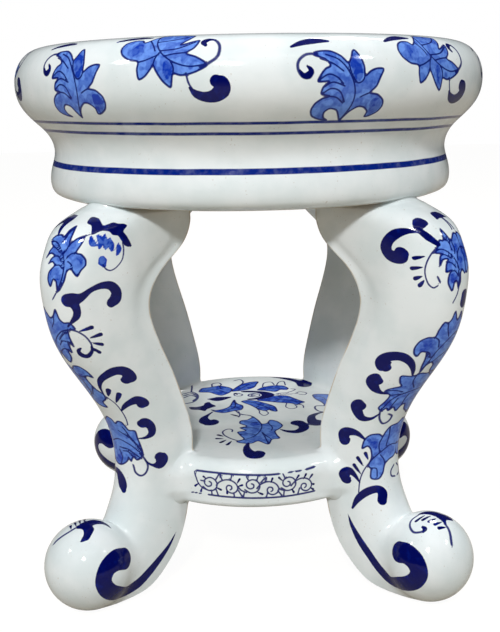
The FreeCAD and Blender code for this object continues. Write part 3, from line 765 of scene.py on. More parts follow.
seat_profile = sweep([seat_point(band_radius - 11, 0.0), seat_point(band_radius - 2.5, 0.035),
                      seat_point(band_radius, 0.105), seat_point(band_radius - 1.8, 0.205),
                      seat_point(waist_radius, 0.300), seat_point(waist_radius + 4, 0.415),
                      seat_point(waist_radius + 14, 0.505), seat_point(rim_radius - 2.6, 0.630),
                      seat_point(rim_radius, 0.735), seat_point(rim_radius - 3.4, 0.870),
                      seat_point(rim_radius - 12.5, 0.955), (rim_radius - 27, seat_high - 1),
                      (flat_radius, seat_high)], 0.86)
seat_profile[:, 0] *= rim_radius / seat_profile[:, 0].max()
seat_profile[:, 1] = np.minimum(seat_profile[:, 1], seat_high)
seat_profile[0, 1] = seat_low
FLARE_START = 366.0
seat_run = lengths(seat_profile)
seat_run -= np.interp(FLARE_START, seat_profile[:, 1], seat_run)
print("seat profile", len(seat_profile), "points", round(seat_run[-1] - seat_run[0], 1), "mm")


def with_wall(line, wall, coarse):
    """A closed outline: the given outer line and a coarser inner one a wall away."""
    heading = np.gradient(line, axis=0)
    heading /= np.linalg.norm(heading, axis=1)[:, None]
    inner = line + wall * np.column_stack([-heading[:, 1], heading[:, 0]])
    picked = np.unique(np.linspace(0, len(line) - 1, coarse).astype(int))
    return np.vstack([line, inner[picked][::-1]])


# %% Seat walls
RIM_STARTS = (5.0, 34.0, 62.0)
PAINT_END = 93.0
BAND_COLUMNS, RIM_COLUMNS = 450, 1500
ON_THE_SKIN = 0.5
rim_names = ("seat_rim_low", "seat_rim_middle", "seat_rim_top")
coarse_top = (seat_run > PAINT_END) & (np.arange(len(seat_run)) % 4 > 0) & (seat_run < seat_run[-1])
below_rim = seat_run < RIM_STARTS[0]
band_line = np.vstack([seat_profile[below_rim][::2], seat_profile[~below_rim][:1]])
seat_band = rolled(with_wall(band_line, seat_wall, 7), BAND_COLUMNS, "seat_band")
seat_rims = []
for name, start, end in zip(rim_names, RIM_STARTS, (*RIM_STARTS[1:], math.inf)):
    first = np.flatnonzero(seat_run >= start)[0]
    last = np.flatnonzero(seat_run >= end)[0] if end < seat_run[-1] else len(seat_run) - 1
    kept = [i for i in range(first, last + 1) if not coarse_top[i]]
    seat_rims.append(rolled(with_wall(seat_profile[kept], seat_wall, 5), RIM_COLUMNS, name))


def shade_as_profile(mesh):
    """Give a seat wall the normals of the whole profile, so that its seams don't show."""
    rows = places(mesh)
    reach = np.hypot(rows[:, 0], rows[:, 1])
    gap, _, place = from_line(reach, rows[:, 2], seat_profile)
    heading = np.gradient(seat_profile, axis=0)
    heading /= np.linalg.norm(heading, axis=1)[:, None]
    out = np.interp(place, np.arange(len(heading)), heading[:, 1])
    up = np.interp(place, np.arange(len(heading)), -heading[:, 0])
    wanted = np.column_stack([rows[:, 0] / reach * out, rows[:, 1] / reach * out, up])
    hidden = gap > ON_THE_SKIN
    wanted[hidden] = normals(mesh)[hidden]
    mesh.normals_split_custom_set_from_vertices(wanted.tolist())
    return gap, np.interp(place, np.arange(len(seat_run)), seat_run)


# %% [markdown]
# ## Round slabs
# The top of the seat and the shelf are slabs of clay. A fan of triangles to a pole
# would pinch the painting in the middle, so a square sheet is mapped on the disc, ring
# by ring, and its squares stay nearly even from the middle to the edge.

# %% Discs
def disc(radius, height, step):
    """A flat disc of nearly even squares, as a bmesh."""
    count = 2 * math.ceil(radius * math.pi / 4 / step)
    shape, share = sheet(count, count)
    x, y = (2 * share - 1).T
    wide = np.abs(x) >= np.abs(y)
    reach = np.where(wide, x, y)
    with np.errstate(divide="ignore", invalid="ignore"):
        turn = np.where(wide, y / x, x / y) * math.pi / 4
    turn = np.nan_to_num(turn)
    across = np.where(wide, np.cos(turn), np.sin(turn)) * reach * radius
    along = np.where(wide, np.sin(turn), np.cos(turn)) * reach * radius
    set_places(shape, np.column_stack([across, along, np.full(len(x), height)]))
    return shape


def skirt(shape, line):
    """Extrude the open edge of a disc along a line of radius and height."""
    edges = [edge for edge in shape.edges if edge.is_boundary]
    for radius, height in line:
        made = bmesh.ops.extrude_edge_only(shape, edges=edges)["geom"]
        edges = [part for part in made if isinstance(part, bmesh.types.BMEdge)]
        for vertex in (part for part in made if isinstance(part, bmesh.types.BMVert)):
            away = Vector((vertex.co.x, vertex.co.y, 0)).normalized() * radius * mm
            vertex.co = (away.x, away.y, height * mm)


# %% Seat slabs
top_shape = disc(flat_radius, seat_high, 1.2)
skirt(top_shape, [(flat_radius, seat_high - seat_wall)])
seat_top = close(top_shape, "seat_slab")
VENT = 9.0
floor_radius = band_radius - 10.5
seat_floor = spun([(VENT, seat_low + 1.2), (VENT + 0.4, seat_low + 0.35), (VENT + 1.4, seat_low),
                   (60, seat_low), (110, seat_low), (floor_radius, seat_low),
                   (floor_radius, seat_low + seat_wall), (VENT, seat_low + seat_wall)],
                  192, "seat_underside")

# %% [markdown]
# ## The shelf
# The shelf is a shallow hollow round box: a top with a broad rounded edge, and a
# wall. Its open edge is extruded ring after ring down the rounding and the wall, in
# steps small enough for the painted scroll.

# %% Shelf
SHELF_EDGE = 13.0
SHELF_FOOT = 5.0
SHELF_WALL = 8.0


def quarter(centre_radius, centre_height, radius, start, end, step):
    count = max(2, math.ceil(radius * abs(end - start) / step))
    turns = np.linspace(start, end, count + 1)[1:]
    return [(centre_radius + radius * math.cos(t), centre_height + radius * math.sin(t)) for t in turns]


rounding = quarter(shelf_radius - SHELF_EDGE, shelf_high - SHELF_EDGE, SHELF_EDGE, math.pi / 2, 0, 1.0)
shelf_shape = disc(shelf_radius - SHELF_EDGE, shelf_high, 1.0)
skirt(shelf_shape, rounding + [(shelf_radius - SHELF_WALL, shelf_high - SHELF_EDGE)])
shelf_top_skin = close(shelf_shape, "shelf_top_skin")

wall_high, wall_low = shelf_high - SHELF_EDGE, shelf_low + SHELF_FOOT
wall_line = [(shelf_radius, height) for height in np.linspace(wall_high, wall_low, 36)]
wall_line += quarter(shelf_radius - SHELF_FOOT, wall_low, SHELF_FOOT, 0, -math.pi / 2, 1.0)
wall_line += [(shelf_radius - SHELF_WALL, shelf_low), (shelf_radius - SHELF_WALL, wall_high)]
SHELF_COLUMNS, SHELF_BASE = 1280, 6.0
shelf_wall_skin = rolled(wall_line, SHELF_COLUMNS, "shelf_band")

base_radius = shelf_radius - SHELF_WALL + 0.5
shelf_base = spun([(VENT, shelf_low + 1), (VENT + 1, shelf_low), (60, shelf_low), (100, shelf_low),
                   (base_radius, shelf_low), (base_radius, shelf_low + SHELF_BASE),
                   (VENT, shelf_low + SHELF_BASE)], 160, "shelf_base")

# %% [markdown]
# ## The legs
# Each leg is pressed in two halves of a mould: a rounded outer shell and an almost
# flat inner plate, which meet in a sharp edge. One sheet is wrapped round the leg,
# ring by ring: the outer face is half of a rounded oval, and the inner one a shallow
# bulge. The rings follow the leg from the knee down the slim ankle and round the
# scroll foot. Where they dip into the ball of the foot, they are pushed out to its
# surface, which rolls the foot into one round form. A leg could also be sculpted from
# a subdivided box, but rings at measured stations keep it where the clay is and give
# the painter straight lines to measure along.

# %% Leg stations
# Out from the axis and up for the sharp edge, the same for the middle of the outer
# face, then half the width and the bulge of the inner plate.
leg_stations = np.array([(106, 309, 173.5, 309, 39, 3), (107, 300.2, 194, 300.2, 39, 3),
                         (113, 285, 205.5, 285, 37.5, 3), (131.5, 267, 211.5, 267, 34, 3),
                         (142.5, 246.8, 211, 246.8, 31, 3), (138, 220, 205.5, 220, 29, 3),
                         (122, 186, 187, 186, 28, 3), (109.5, 154.6, 166.9, 154.6, 27.5, 3),
                         (101.9, 125, 155.6, 125, 27.5, 3), (103.5, 98.2, 154, 100.4, 27.5, 3),
                         (107, 74.9, 157.5, 81.8, 28, 3), (112.9, 55, 164.4, 65.8, 29.2, 4),
                         (123.8, 34.2, 171.4, 55, 29.6, 5.5), (139.8, 18.2, 177.4, 53.2, 29.4, 6),
                         (158.4, 8, 183.4, 52.5, 27.5, 6), (177.4, 6.5, 188.4, 51.8, 20.5, 5),
                         (192, 15, 193, 48, 12, 3), (199, 30, 198, 38, 4, 1)])
leg_run = lengths(0.5 * (leg_stations[:, :2] + leg_stations[:, 2:4]))
OVAL = 2 / 2.3
BALL_SOFT = 14.0
OUTER_COLUMNS, BACK_COLUMNS = 136, 22


# %% Swelling and rolling
def ease(value, start, end):
    """0 at the start, 1 at the end, and smooth between."""
    share = np.clip((value - start) / (end - start), 0, 1)
    return share * share * (3 - 2 * share)


def from_ball(rho, across, height):
    """Distance from the middle of the ball of the foot."""
    return np.sqrt((rho - foot_reach)**2 + across**2 + (height - foot_height)**2)


def push_out(rho, across, height):
    """Push places inside the ball of the foot out to its surface, softly at its edge."""
    gap = from_ball(rho, across, height)
    depth = foot_radius - gap
    soft = (BALL_SOFT + depth)**2 / (4 * BALL_SOFT)
    lift = np.where(depth > BALL_SOFT, depth, np.where(depth > -BALL_SOFT, soft, 0))
    grow = 1 + lift / np.maximum(gap, 1e-6)
    lifted = foot_height + (height - foot_height) * grow
    return foot_reach + (rho - foot_reach) * grow, across * grow, np.maximum(lifted, 0)


def lip(edge, along):
    """How far the clay swells at the sharp edge and hollows beside it."""
    swell = 1.2 * np.exp(-(edge / 3.5)**2) - 0.75 * np.exp(-((edge - 9) / 5)**2)
    return swell * ease(along, 0, 16) * (1 - ease(along, 200, 245))


# %% One ring
def leg_ring(along, inset=0.0, lift=0.0, shrink=0.0):
    """One ring: out, across, up, distance from the ridge and from the sharp edge."""
    station = spline(leg_run, leg_stations, np.array([along]))[0]
    edge, outer, half, bulge = station[:2], station[2:4], station[4] - inset, station[5]
    ahead = (outer - edge) / np.linalg.norm(outer - edge)
    depth = np.linalg.norm(outer - edge) - 2.2 * inset
    fine = np.linspace(0, math.pi / 2, 240)
    reach, width = depth * np.cos(fine).clip(0)**OVAL, half * np.sin(fine)**OVAL
    run = lengths(np.column_stack([reach, width]))
    turn = np.interp(np.linspace(0, run[-1], OUTER_COLUMNS // 2 + 1), run, fine)
    ridge = np.linspace(0, run[-1], OUTER_COLUMNS // 2 + 1)
    turn = np.concatenate([turn[::-1], -turn[1:]])
    ridge = np.concatenate([ridge[::-1], -ridge[1:]])
    reach = depth * np.cos(turn).clip(0)**OVAL
    width = half * np.sign(turn) * np.abs(np.sin(turn))**OVAL
    to_edge = run[-1] - np.abs(ridge)
    width = width + np.sign(turn) * lip(to_edge, along)
    side = np.linspace(-1, 1, BACK_COLUMNS + 1)[1:]
    back_edge = half * (1 - np.abs(side))
    back_width = side * half + np.sign(side) * lip(0.0, along) * np.exp(-(back_edge / 4)**2)
    reach = np.concatenate([reach, -bulge * (1 - side**2)]) + 0.6 * inset
    width = np.concatenate([width, back_width])
    rho, height = edge[0] + ahead[0] * reach, edge[1] + ahead[1] * reach + lift
    middle = np.array([rho.mean(), 0, height.mean()])
    ring = np.column_stack([rho, width, height])
    ring = middle + (ring - middle) * (1 - shrink)
    ring = np.column_stack(push_out(*ring.T))
    ridge = np.concatenate([ridge, -side * 200])
    return np.column_stack([ring, ridge, np.concatenate([to_edge, -back_edge])])


# %% Rings down the leg
def even_rows(step):
    """Places down the leg so that no two rings are further apart than a step."""
    fine = np.linspace(0, leg_run[-1], 500)
    rings = np.array([leg_ring(along)[::8, :3] for along in fine])
    jump = np.linalg.norm(np.diff(rings, axis=0), axis=2).max(1)
    run = np.concatenate([[0], np.cumsum(jump)])
    return np.interp(np.linspace(0, run[-1], math.ceil(run[-1] / step) + 1), run, fine)


ROW_STEP = 1.15
leg_rows = even_rows(ROW_STEP)
neck = [(7.0, 8.5), (6.4, 5.5), (5.6, 4.0), (4.4, 3.0), (3.0, 2.1), (1.6, 1.3), (0.7, 0.6)]
rings = [leg_ring(0.0, inset, lift) for inset, lift in neck]
rings += [leg_ring(along) for along in leg_rows]
cap = [leg_ring(leg_run[-1], shrink=share) for share in np.linspace(0, 1, 16)[1:]]
rings = np.array(rings + cap)
ring_along = np.concatenate([np.zeros(len(neck)), leg_rows, np.full(len(cap), leg_run[-1])])
print("leg rings", rings.shape, "lowest", round(rings[..., 2].min(), 2))

# %% Leg skin
RING_FACTS = ("ridge", "along", "edge")
ring_size = rings.shape[1]
leg_shape, share = sheet(ring_size, len(rings) - 1)
column = np.rint(share[:, 0] * ring_size).astype(int) % ring_size
row = np.rint(share[:, 1] * (len(rings) - 1)).astype(int)
set_places(leg_shape, rings[row, column, :3])
facts = {"ridge": rings[row, column, 3], "along": ring_along[row], "edge": rings[row, column, 4]}
for name in RING_FACTS:
    layer = leg_shape.verts.layers.float.new(name)
    for vertex, value in zip(leg_shape.verts, facts[name].tolist()):
        vertex[layer] = value
leg_skin = close(leg_shape, "leg")
leg_places, leg_normals = places(leg_skin), normals(leg_skin)
print("leg skin", len(leg_places), "vertices")

# %% [markdown]
# ## Where two pieces are luted together
# The potter smooths slip into the corner between leg and shelf, so one flows into the
# other. Each skin is moved out along its own faces by an amount that grows as the
# other comes near, and the two meet in one smooth hollow. Past the place where they
# meet, each runs straight on into the other, so they cross without a crease, where a
# boolean union would leave one. The shelf is simple enough for its distance to be
# worked out. The distance to a leg is looked up in a tree of its faces, on one leg for
# all four.

# %% Fillets
FILLET_WALL, FILLET_FLAT = 17.0, 6.0
FILLET_PASSES = 4


def fillet(gap, height):
    """How far a face is moved out when the other skin is a gap away."""
    # The hollow is broad on the wall and narrow on the flat top and underside.
    broad = ease(height, shelf_high + 1, shelf_high - 16) * ease(height, shelf_low - 2, shelf_low + 12)
    size = FILLET_FLAT + (FILLET_WALL - FILLET_FLAT) * broad
    gap = np.maximum(gap, 0)
    bend = (np.sqrt(size) - np.sqrt(np.minimum(gap, size)))**2
    return np.where(gap < size / 4, size / 2 - gap, bend)[:, None]


def gap_to_shelf(rows):
    """Distance to the shelf from places given out, across and up."""
    middle = 0.5 * (shelf_low + shelf_high)
    reach = np.hypot(rows[:, 0], rows[:, 1]) - (shelf_radius - SHELF_EDGE)
    rise = np.abs(rows[:, 2] - middle) - (0.5 * (shelf_high - shelf_low) - SHELF_EDGE)
    outside = np.hypot(np.maximum(reach, 0), np.maximum(rise, 0))
    return outside + np.minimum(np.maximum(reach, rise), 0) - SHELF_EDGE


leg_tree = BVHTree.FromPolygons(leg_places.tolist(), [tuple(face.vertices) for face in leg_skin.polygons])


def gap_to_leg(rows):
    """Distance to the nearest leg. Where no leg is near, it is only said to be large."""
    turn = np.arctan2(rows[:, 0], -rows[:, 1]) - math.pi / 4
    turn = turn - np.rint(turn / (math.pi / 2)) * (math.pi / 2)
    reach = np.hypot(rows[:, 0], rows[:, 1])
    gaps = np.full(len(rows), 2 * FILLET_WALL)
    for i in np.flatnonzero((reach > 80) & (np.abs(turn) < 0.6)):
        place = Vector((reach[i] * math.cos(turn[i]), reach[i] * math.sin(turn[i]), rows[i, 2]))
        nearest, normal, _, gap = leg_tree.find_nearest(place)
        gaps[i] = gap if (place - nearest).dot(normal) > 0 else 0.0
    return gaps


# %% Filleted skins
moved = leg_places.copy()
for _ in range(FILLET_PASSES):
    moved = leg_places + leg_normals * fillet(gap_to_shelf(moved), leg_places[:, 2])
leg_places_filleted = moved

shelf_places = {}
for mesh in (shelf_top_skin, shelf_wall_skin):
    start, ahead = places(mesh), normals(mesh)
    ahead[start[:, 2] > shelf_high - 0.01] = (0, 0, 1)
    reach = np.hypot(start[:, 0], start[:, 1])
    outer = reach > shelf_radius - 0.01
    level = np.column_stack([start[outer, 0], start[outer, 1], 0 * reach[outer]])
    ahead[outer] = level / reach[outer, None]
    hidden = reach < shelf_radius - SHELF_WALL + 0.1
    still = hidden & (start[:, 2] < shelf_high - 0.5 * SHELF_EDGE)
    moved = start.copy()
    for _ in range(FILLET_PASSES):
        moved = start + ahead * np.where(still[:, None], 0, fillet(gap_to_leg(moved), start[:, 2]))
    move(mesh, moved)
    shelf_places[mesh.name] = start
    print(mesh.name, "moved by up to", round(np.linalg.norm(moved - start, axis=1).max(), 2), "mm")

# %% [markdown]
# ## Laying the painting on the skins
# The decorator turns the stool on a wheel and paints one face after another. Here each
# skin says which of its vertices may be painted and in which two directions to
# measure: round and up on the rim, across and back on a slab, round and up on the
# band, and out from the ridge and down on a leg. No skin is unwrapped for this, so
# nothing stretches at a seam. The top of the seat takes the shelf's flower, a little
# larger.

# %% Painting the seat
TOP_FLOWER_SIZE = 1.22
shade_as_profile(seat_band)
for mesh in seat_rims:
    gap, up_the_rim = shade_as_profile(mesh)
    rim_places = places(mesh)
    around = np.arctan2(rim_places[:, 0], -rim_places[:, 1]) * CHART_RADIUS
    painter = Painter(len(rim_places))
    painter.over(around, up_the_rim, gap < ON_THE_SKIN)
    rim_painting(painter)
    painter.store(mesh)

top_places = places(seat_top)
painter = Painter(len(top_places))
painter.over(top_places[:, 0], top_places[:, 1], top_places[:, 2] > seat_high - 0.1)
shelf_flower(painter.put(size=TOP_FLOWER_SIZE))
painter.store(seat_top)

# %% Painting the shelf
SPLIT_LINE = 4.0
half_turn = math.pi * shelf_radius
for mesh in (shelf_top_skin, shelf_wall_skin):
    start = shelf_places[mesh.name]
    painter = Painter(len(start))
    if mesh is shelf_top_skin:
        painter.over(start[:, 0], start[:, 1], start[:, 2] > wall_high + SPLIT_LINE)
        shelf_flower(painter)
    around = np.arctan2(start[:, 0], -start[:, 1]) * shelf_radius
    painter.over(around, start[:, 2], np.hypot(start[:, 0], start[:, 1]) > shelf_radius - SPLIT_LINE)
    for middle in (0.0, 0.5 * half_turn, -0.5 * half_turn, half_turn, -half_turn):
        scroll_band(painter, middle)
    painter.store(mesh)

# %% Painting the legs
LEG_PAINT = (1.5, 276.0)
FIRST_FOLD, SECOND_FOLD = -9.0, 3.0
COMMA_OUT, COMMA_TOP, COMMA_SIDE = 118.0, 66.0, 3.0


def read(mesh, name):
    values = np.empty(len(mesh.vertices))
    mesh.attributes[name].data.foreach_get("value", values)
    return values


ridge, along, edge = (read(leg_skin, name) for name in RING_FACTS)
for name in RING_FACTS:
    leg_skin.attributes.remove(leg_skin.attributes[name])
on_outer = edge >= 0
rho, across, height = leg_places.T
low_foot = on_outer & (rho > COMMA_OUT) & (height < COMMA_TOP)
ball_top = on_outer & (height > foot_height + 10) & (from_ball(rho, across, height) < foot_radius + 4)


def leg_painting(first):
    """All of one leg's painting. Its two sides mirror each other about a fold."""
    painter = Painter(len(leg_places))
    if first:
        folded = FIRST_FOLD + np.abs(ridge - FIRST_FOLD)
    else:
        folded = SECOND_FOLD - np.abs(ridge - SECOND_FOLD)
    painter.over(folded, along, on_outer & (along > LEG_PAINT[0]) & (along < LEG_PAINT[1]))
    (first_leg if first else second_leg)(painter)
    painter.over(rho, height, low_foot & (across > COMMA_SIDE))
    low_comma(painter)
    painter.over(rho, height, low_foot & (across < -COMMA_SIDE))
    high_comma(painter)
    painter.over(rho, across, ball_top)
    (forked_leaf if first else curled_leaf)(painter)
    return painter


# %% Four legs
leg_turns = {"front_left": -45, "front_right": 45, "rear_right": 135, "rear_left": -135}
paintings = {True: leg_painting(True), False: leg_painting(False)}
shown_edge = np.abs(edge) + 3 * ease(along, 268, 285)
leg_skins = {}
for corner, turn in leg_turns.items():
    mesh = leg_skin.copy()
    mesh.name = corner + "_leg"
    out = np.array([math.sin(math.radians(turn)), -math.cos(math.radians(turn)), 0])
    side = np.array([math.cos(math.radians(turn)), math.sin(math.radians(turn)), 0])
    rows = leg_places_filleted[:, :1] * out + leg_places_filleted[:, 1:2] * side
    rows[:, 2] = leg_places_filleted[:, 2]
    move(mesh, rows)
    paintings[corner in ("front_left", "rear_right")].store(mesh, edge=shown_edge)
    leg_skins[corner] = mesh

# %% [markdown]
# ## Writing a finish as sums
# A material is a net of small nodes. It reads better as arithmetic, so one class
# wraps a node's output and turns each sum written on it into a Math node. Colours and
# textures come from one method that takes any node's type, settings and inputs.

# %% Shader sums
class Sum:
    """A number that changes over a surface."""

    def __init__(self, finish, socket):
        self.finish, self.socket = finish, socket

    def maths(self, operation, *values):
        return self.finish.node("ShaderNodeMath", {"operation": operation}, dict(enumerate(values)))

    def __add__(self, other):
        return self.maths("ADD", self, other)

    def __sub__(self, other):
        return self.maths("SUBTRACT", self, other)

    def __rsub__(self, other):
        return self.maths("SUBTRACT", other, self)

    def __mul__(self, other):
        return self.maths("MULTIPLY", self, other)

    __radd__, __rmul__ = __add__, __mul__

    def __abs__(self):
        return self.maths("ABSOLUTE", self)

    def least(self, other):
        return self.maths("MINIMUM", self, other)

    def most(self, other):
        return self.maths("MAXIMUM", self, other)

    def rise(self, start, end):
        """0 at the start, 1 at the end, and smooth between."""
        return self.finish.node("ShaderNodeMapRange", {"interpolation_type": "SMOOTHSTEP"},
                                {"Value": self, "From Min": start, "From Max": end})


# %% Finishes
class Finish:
    """A material, or the world, whose nodes are being laid."""

    def __init__(self, owner):
        owner.use_nodes = True
        self.owner, self.tree = owner, owner.node_tree
        self.tree.nodes.clear()

    def node(self, kind, settings=None, inputs=None, output=0):
        node = self.tree.nodes.new(kind)
        for name, value in (settings or {}).items():
            setattr(node, name, value)
        for name, value in (inputs or {}).items():
            usable = [socket for socket in node.inputs if socket.enabled]
            socket = usable[name] if isinstance(name, int) else next(s for s in usable if s.name == name)
            if isinstance(value, Sum):
                self.tree.links.new(value.socket, socket)
            else:
                socket.default_value = value
        given = [socket for socket in node.outputs if socket.enabled]
        return Sum(self, given[output]) if given else None

    def attribute(self, name):
        return self.node("ShaderNodeAttribute", {"attribute_name": name}, output=2)

    def noise(self, size, detail=2.0):
        """Soft noise about so many millimetres across, from 0 to 1."""
        place = self.node("ShaderNodeTexCoord", output=3)
        return self.node("ShaderNodeTexNoise", {"noise_dimensions": "3D"},
                         {"Vector": place, "Scale": 1 / (size * mm), "Detail": detail})

    def mix(self, share, first, second):
        return self.node("ShaderNodeMix", {"data_type": "RGBA"}, {"Factor": share, "A": first, "B": second})

    def place(self, axis):
        """One of the object's own coordinates, in millimetres."""
        where = self.node("ShaderNodeTexCoord", output=3)
        return self.node("ShaderNodeSeparateXYZ", {}, {"Vector": where}, output=axis) * (1 / mm)


# %% Colours
def colour(red, green, blue):
    """A colour as it looks, from 0 to 255, turned into the light that it gives back."""
    looks = [channel / 255 for channel in (red, green, blue)]
    return tuple(c / 12.92 if c < 0.04045 else ((c + 0.055) / 1.055)**2.4 for c in looks) + (1.0,)


# %% [markdown]
# ## The glaze
# The body is white stoneware under a clear glaze that is a little blue-grey where it
# lies thick, and dusted with small iron specks. The cobalt lies under the glaze, so
# the painting changes colour only, never the gloss. A wash is watery and pools darker
# at its edge. Dark strokes are almost black-blue where the brush stopped. On a sharp
# edge the glaze runs thin and the buff clay shows through.

# %% Glaze
WHITE = colour(228, 234, 235)
THICK_GLAZE = colour(216, 225, 226)
SPECK = colour(160, 136, 110)
WASH_PALE, WASH_DEEP = colour(104, 146, 226), colour(18, 56, 168)
OUTLINE = colour(2, 16, 102)
DARK_FULL, DARK_THIN = colour(0, 6, 84), colour(4, 34, 140)
RULED = colour(0, 32, 122)
RULED_LINES = ((340.6, 2.1, 0.0), (366.4, 1.05, 0.0063), (373.4, 0.95, 0.006))
BUFF = colour(186, 164, 134)
SOLE = colour(168, 142, 112)


def bare_glaze(finish):
    """The colour of the glaze where nothing is painted."""
    cloud = finish.noise(34.0, 3.0).rise(0.35, 0.68)
    base = finish.mix(cloud, WHITE, THICK_GLAZE)
    dust = finish.noise(1.7, 1.0).rise(0.70, 0.77) * finish.noise(23.0, 1.0).rise(0.46, 0.62)
    return finish.mix(dust * 0.4, base, SPECK)


def painted(finish, base, slack):
    """The painting laid on a colour, from the distances kept at the vertices."""
    wash, tone, line_side, line_near, dark = (finish.attribute(name) for name in STROKES)
    ragged = (finish.noise(1.6, 2.0) - 0.5) * 0.5
    inside = (wash + ragged * 1.6) * -1
    pool = 1 - inside.rise(0.0, 1.2)
    speckle = finish.noise(3.2, 2.0).rise(0.35, 0.75)
    patches = finish.noise(8.0, 1.0).rise(0.46, 0.54) * 0.40 + speckle * 0.34
    depth = (tone * 0.55 + patches + pool * 0.4).least(1.0)
    washed = finish.mix(inside.rise(-0.35, 0.25), base, finish.mix(depth, WASH_PALE, WASH_DEEP))
    line = abs(line_side).most(line_near - slack) + ragged * 0.3
    lined = finish.mix((1 - line.rise(0.28, 0.72)) * 0.96, washed, OUTLINE)
    core = (dark + ragged * 0.5) * -1
    streak = finish.noise(5.0, 3.0).rise(0.50, 0.80)
    thin = streak * (1 - core.rise(0.2, 2.4) * 0.65)
    return finish.mix(core.rise(-0.2, 0.25), lined, finish.mix(thin, DARK_FULL, DARK_THIN))


def ruled(finish, base):
    """The lines ruled round the seat on the wheel: height, half width and slope."""
    height, across = finish.place(2), finish.place(0)
    wobble = (finish.noise(45.0, 1.0) - 0.5) * 0.8
    for middle, half, slope in RULED_LINES:
        away = abs(height + across * slope + wobble - middle)
        mark = 1 - away.rise(half - 0.25, half + 0.3)
        strength = finish.noise(6.0, 3.0).rise(0.1, 0.6) * 0.12 + 0.88
        base = finish.mix(mark * strength, base, RULED)
    return base


def glazed(name, with_painting=False, with_rules=False, with_edge=False, slack=0.35):
    """A glossy glaze, with the painting, the ruled lines or the thin edge as asked."""
    finish = Finish(bpy.data.materials.new(name))
    base = bare_glaze(finish)
    if with_edge:
        worn = finish.noise(14.0, 2.0).rise(0.25, 0.65)
        thin = (1 - finish.attribute("edge").rise(0.5, 1.3)) * (0.22 + worn * 0.5)
        base = finish.mix(thin, base, BUFF)
    if with_painting:
        base = painted(finish, base, slack)
    if with_rules:
        base = ruled(finish, base)
    sole = 1 - finish.place(2).rise(0.15, 0.8)
    base = finish.mix(sole, base, SOLE)
    wave = finish.noise(16.0, 2.0) * 0.9 + finish.noise(5.5, 2.0) * 0.26
    bump = finish.node("ShaderNodeBump", {}, {"Strength": 0.5, "Distance": 0.5 * mm, "Height": wave})
    shader = finish.node("ShaderNodeBsdfPrincipled", {}, {
        "Base Color": base, "Roughness": 0.07 + sole * 0.6 + finish.noise(12.0, 2.0) * 0.04,
        "Normal": bump, "IOR": 1.5, "Specular IOR Level": 0.3})
    finish.node("ShaderNodeOutputMaterial", {}, {"Surface": shader})
    return finish.owner


# %% [markdown]
# ## Bare clay
# The underside of the seat is wiped clean before firing, so that the stool doesn't
# stick to the kiln shelf. There the clay is matt, buff and gritty.

# %% Bare clay
def bare_clay():
    finish = Finish(bpy.data.materials.new("bare_clay"))
    grit = finish.noise(1.4, 4.0)
    tint = finish.mix(finish.noise(26.0, 3.0).rise(0.3, 0.7), colour(196, 180, 156), colour(176, 156, 130))
    tint = finish.mix(grit.rise(0.60, 0.72) * 0.5, tint, colour(122, 100, 78))
    bump = finish.node("ShaderNodeBump", {}, {"Strength": 0.6, "Distance": 0.25 * mm, "Height": grit})
    shader = finish.node("ShaderNodeBsdfPrincipled", {}, {
        "Base Color": tint, "Roughness": 0.85, "Normal": bump})
    finish.node("ShaderNodeOutputMaterial", {}, {"Surface": shader})
    return finish.owner


# %% [markdown]
# ## Setting the skins in place
# Each finished skin takes the place of the frame's nodes that it covers and rides on the
# one fired body.

# %% Placing a skin
def piece(mesh, material, slot, *nodes):
    """A finished skin that stands for some of the frame's nodes."""
    item = bpy.data.objects.new(mesh.name, mesh)
    bpy.context.scene.collection.objects.link(item)
    mesh.materials.append(material)
    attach(item, "root")
    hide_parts(*nodes)
    print(mesh.name, sum(len(face.vertices) - 2 for face in mesh.polygons), "triangles")


# %% Pieces
seat_glaze = glazed("painted_seat_glaze", with_painting=True, with_rules=True, slack=0.15)
ruled_glaze = glazed("ruled_seat_glaze", with_rules=True)
shelf_glaze = glazed("painted_shelf_glaze", with_painting=True)
scroll_glaze = glazed("painted_band_glaze", with_painting=True, slack=0.12)
leg_glaze = glazed("painted_leg_glaze", with_painting=True, with_edge=True)
plain_glaze = glazed("plain_glaze")
clay = bare_clay()
for mesh in seat_rims:
    piece(mesh, seat_glaze, "painted_glaze", "seat_drum")
piece(seat_band, ruled_glaze, "painted_glaze", "seat_drum")
piece(seat_top, shelf_glaze, "painted_glaze", "seat_top")
piece(seat_floor, clay, "bare_clay", "seat_floor")
shelf_walls = ["shelf_wall_" + side for side in ("front", "right", "rear", "left")]
piece(shelf_top_skin, shelf_glaze, "painted_glaze", "shelf_top", *shelf_walls)
piece(shelf_wall_skin, scroll_glaze, "painted_glaze", *shelf_walls)
piece(shelf_base, plain_glaze, "plain_glaze", "shelf_underside")
for corner, mesh in leg_skins.items():
    parts = ("leg_outer", "leg_inner", "foot_scroll", "seat_joint", "shelf_joint")
    piece(mesh, leg_glaze, "painted_glaze", *(corner + "_" + part for part in parts))
bpy.data.meshes.remove(leg_skin)

# %% [markdown]
# ## Floor and light
# The photograph is lit like a catalogue picture. One small lamp in front gives most of
# the light and the sparkles on the glaze. A wide weak lamp and a narrow strip hang
# overhead, and one lamp at each side and one behind keep the far legs from going
# dark. The surroundings show white to the camera, but light the stool only dimly and
# are darker still in the glaze, so the cobalt stays deep. The floor shows white too
# and keeps the stool's shadow. It lies a hair below the soles, so the two never share
# a face.

